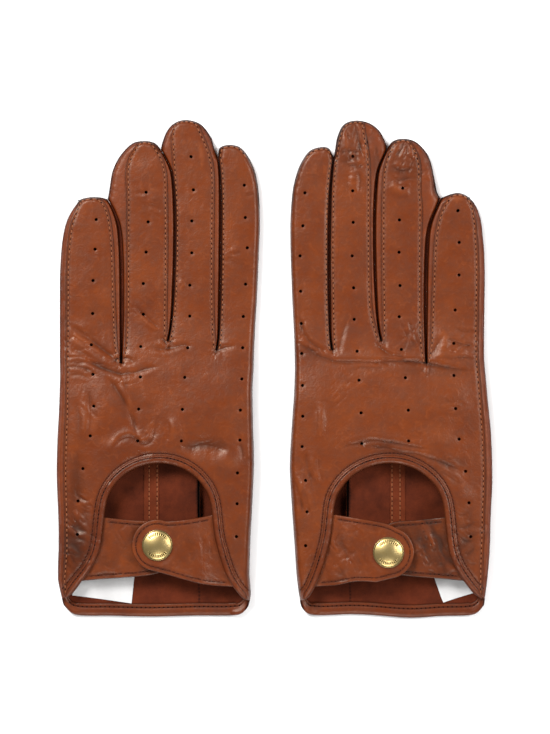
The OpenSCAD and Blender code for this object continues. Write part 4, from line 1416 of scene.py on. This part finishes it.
def thumb(side):
    """The thumb: two shells with a seam round their edge, and a short gusset up into the palm."""
    closed = np.vstack([THUMB, THUMB[:1]])
    outline = ring_of(THUMB)
    middle = 2.3

    def shell(z_far, seed):
        def height(p):
            d = nearest(p, closed)[0]
            z = middle + (z_far - middle) * rounded(d, 3.2) + 0.15 * lattice(p, 9, seed) * smooth(d / 3)
            z -= 0.18 * np.sign(z_far - middle) * bell((d - 1.8) / 0.6)
            return z, 0.2 * lattice(p, 7, seed + 1) - 0.4 * bell(d / 0.5)
        return height

    outer_z, inner_z = shell(0.25, 71), shell(4.3, 81)
    for name, height, holes in (("thumb_outer", outer_z, []), ("thumb_inner", inner_z, [THUMB_MOUTH])):
        outside = name == "thumb_outer"
        obj = sheet(name + "_leather", side, outline, SHEET, height, 1.0, holes, depth=0.7, flip=outside)
        fixed(obj, side, "thumb", "cognac_leather", name)
    row = aside(even(THUMB), 1.8)
    rows = [run_of_stitches(row, STITCH, lambda q: inner_z(q)[0]),
            run_of_stitches(row, STITCH, lambda q: outer_z(q)[0], up=-1)]
    fixed(stitches("thumb_stitches", side, rows), side, "thumb", "cognac_leather")
    ring = np.vstack([THUMB_MOUTH, THUMB_MOUTH[:1]])
    low_z = inner_z(ring)[0] - 0.5
    high_z = palm_top(ring) - 0.1
    # Along the straight side the gusset folds under, into a narrow slit whose lowest faces are painted near
    # black as shade
    fold = 1.3 * smooth((ring[:, 0] - SLIT_X + 0.9) / 0.8)
    rows = [np.column_stack([ring[:, 0] - fold - 0.02, ring[:, 1], low_z + 0.9])]
    for share in np.linspace(0, 1, 9):
        line = aside(ring, 0.25 * math.sin(math.pi * share))
        rows.append(np.column_stack([line, low_z + (high_z - low_z) * share]))
    v, f = loft(np.array(rows))
    index = np.zeros(len(f), int)
    slit = np.tile(fold[1:] > 0.3, 2)          # the two lowest rows of faces, where the fold is
    # The fold's faces take the near-black material: painted shade
    index[:len(slit)] = slit
    looks = [SUEDE, HOLE_SHADE, COGNAC, COGNAC]
    gusset = build("thumb_gusset", side, v, f, looks, index=index, flip=True)
    thicken(gusset, 0.3, 2, 2)
    bend(gusset, side, "thumb", "suede_inside")


# ---------------------------------------------------------------- room

def room():
    size = 6.0
    floor = bpy.data.meshes.new("floor")
    corners = [(-size, -size, 0), (size, -size, 0), (size, size, 0), (-size, size, 0)]
    floor.from_pydata(corners, [], [(0, 1, 2, 3)])
    p = Paint("pale_floor")
    grain = p.bump(p.noise(700.0, 2.0), 0.02, 0.0002)
    floor.materials.append(p.done((0.97, 0.97, 0.97, 1), grain, 0.9, 0.1))
    linked("floor", floor)


def light():
    world = bpy.data.worlds.new("studio")
    world.use_nodes = True
    sky = world.node_tree.nodes["Background"]
    sky.inputs["Color"].default_value = (1, 1, 1, 1)
    sky.inputs["Strength"].default_value = 0.275
    bpy.context.scene.world = world
    for name, at, size, power in (("key", (-0.62, 0.72, 1.05), (0.5, 0.5), 25),
                                  ("fill", (0.95, 0.25, 0.95), (0.6, 0.6), 12.5),
                                  ("low", (0.05, -1.05, 0.95), (0.6, 0.5), 8)):
        data = bpy.data.lights.new(name, "AREA")
        data.shape = "RECTANGLE"
        data.size, data.size_y = size
        data.energy = power
        obj = linked(name, data)
        obj.location = at
        obj.rotation_euler = (-Vector(at)).to_track_quat("-Z", "Y").to_euler()
    bpy.context.scene.view_settings.view_transform = "Standard"


def camera():
    """Straight above, far enough away for an almost parallel view."""
    shown = 0.3633                             # height of the view, at the gloves
    distance = 1.6
    data = bpy.data.cameras.new("camera")
    data.sensor_fit = "VERTICAL"
    data.sensor_height = 24
    data.lens = data.sensor_height * distance / shown
    obj = linked("camera", data)
    obj.location = (0.0002, 0.0005, distance + 0.008)
    bpy.context.scene.camera = obj


for side in SIDES:
    for part in (fingers, hand, palm, binding, straps, snap, label, thumb):
        part(side)
room()
light()
camera()
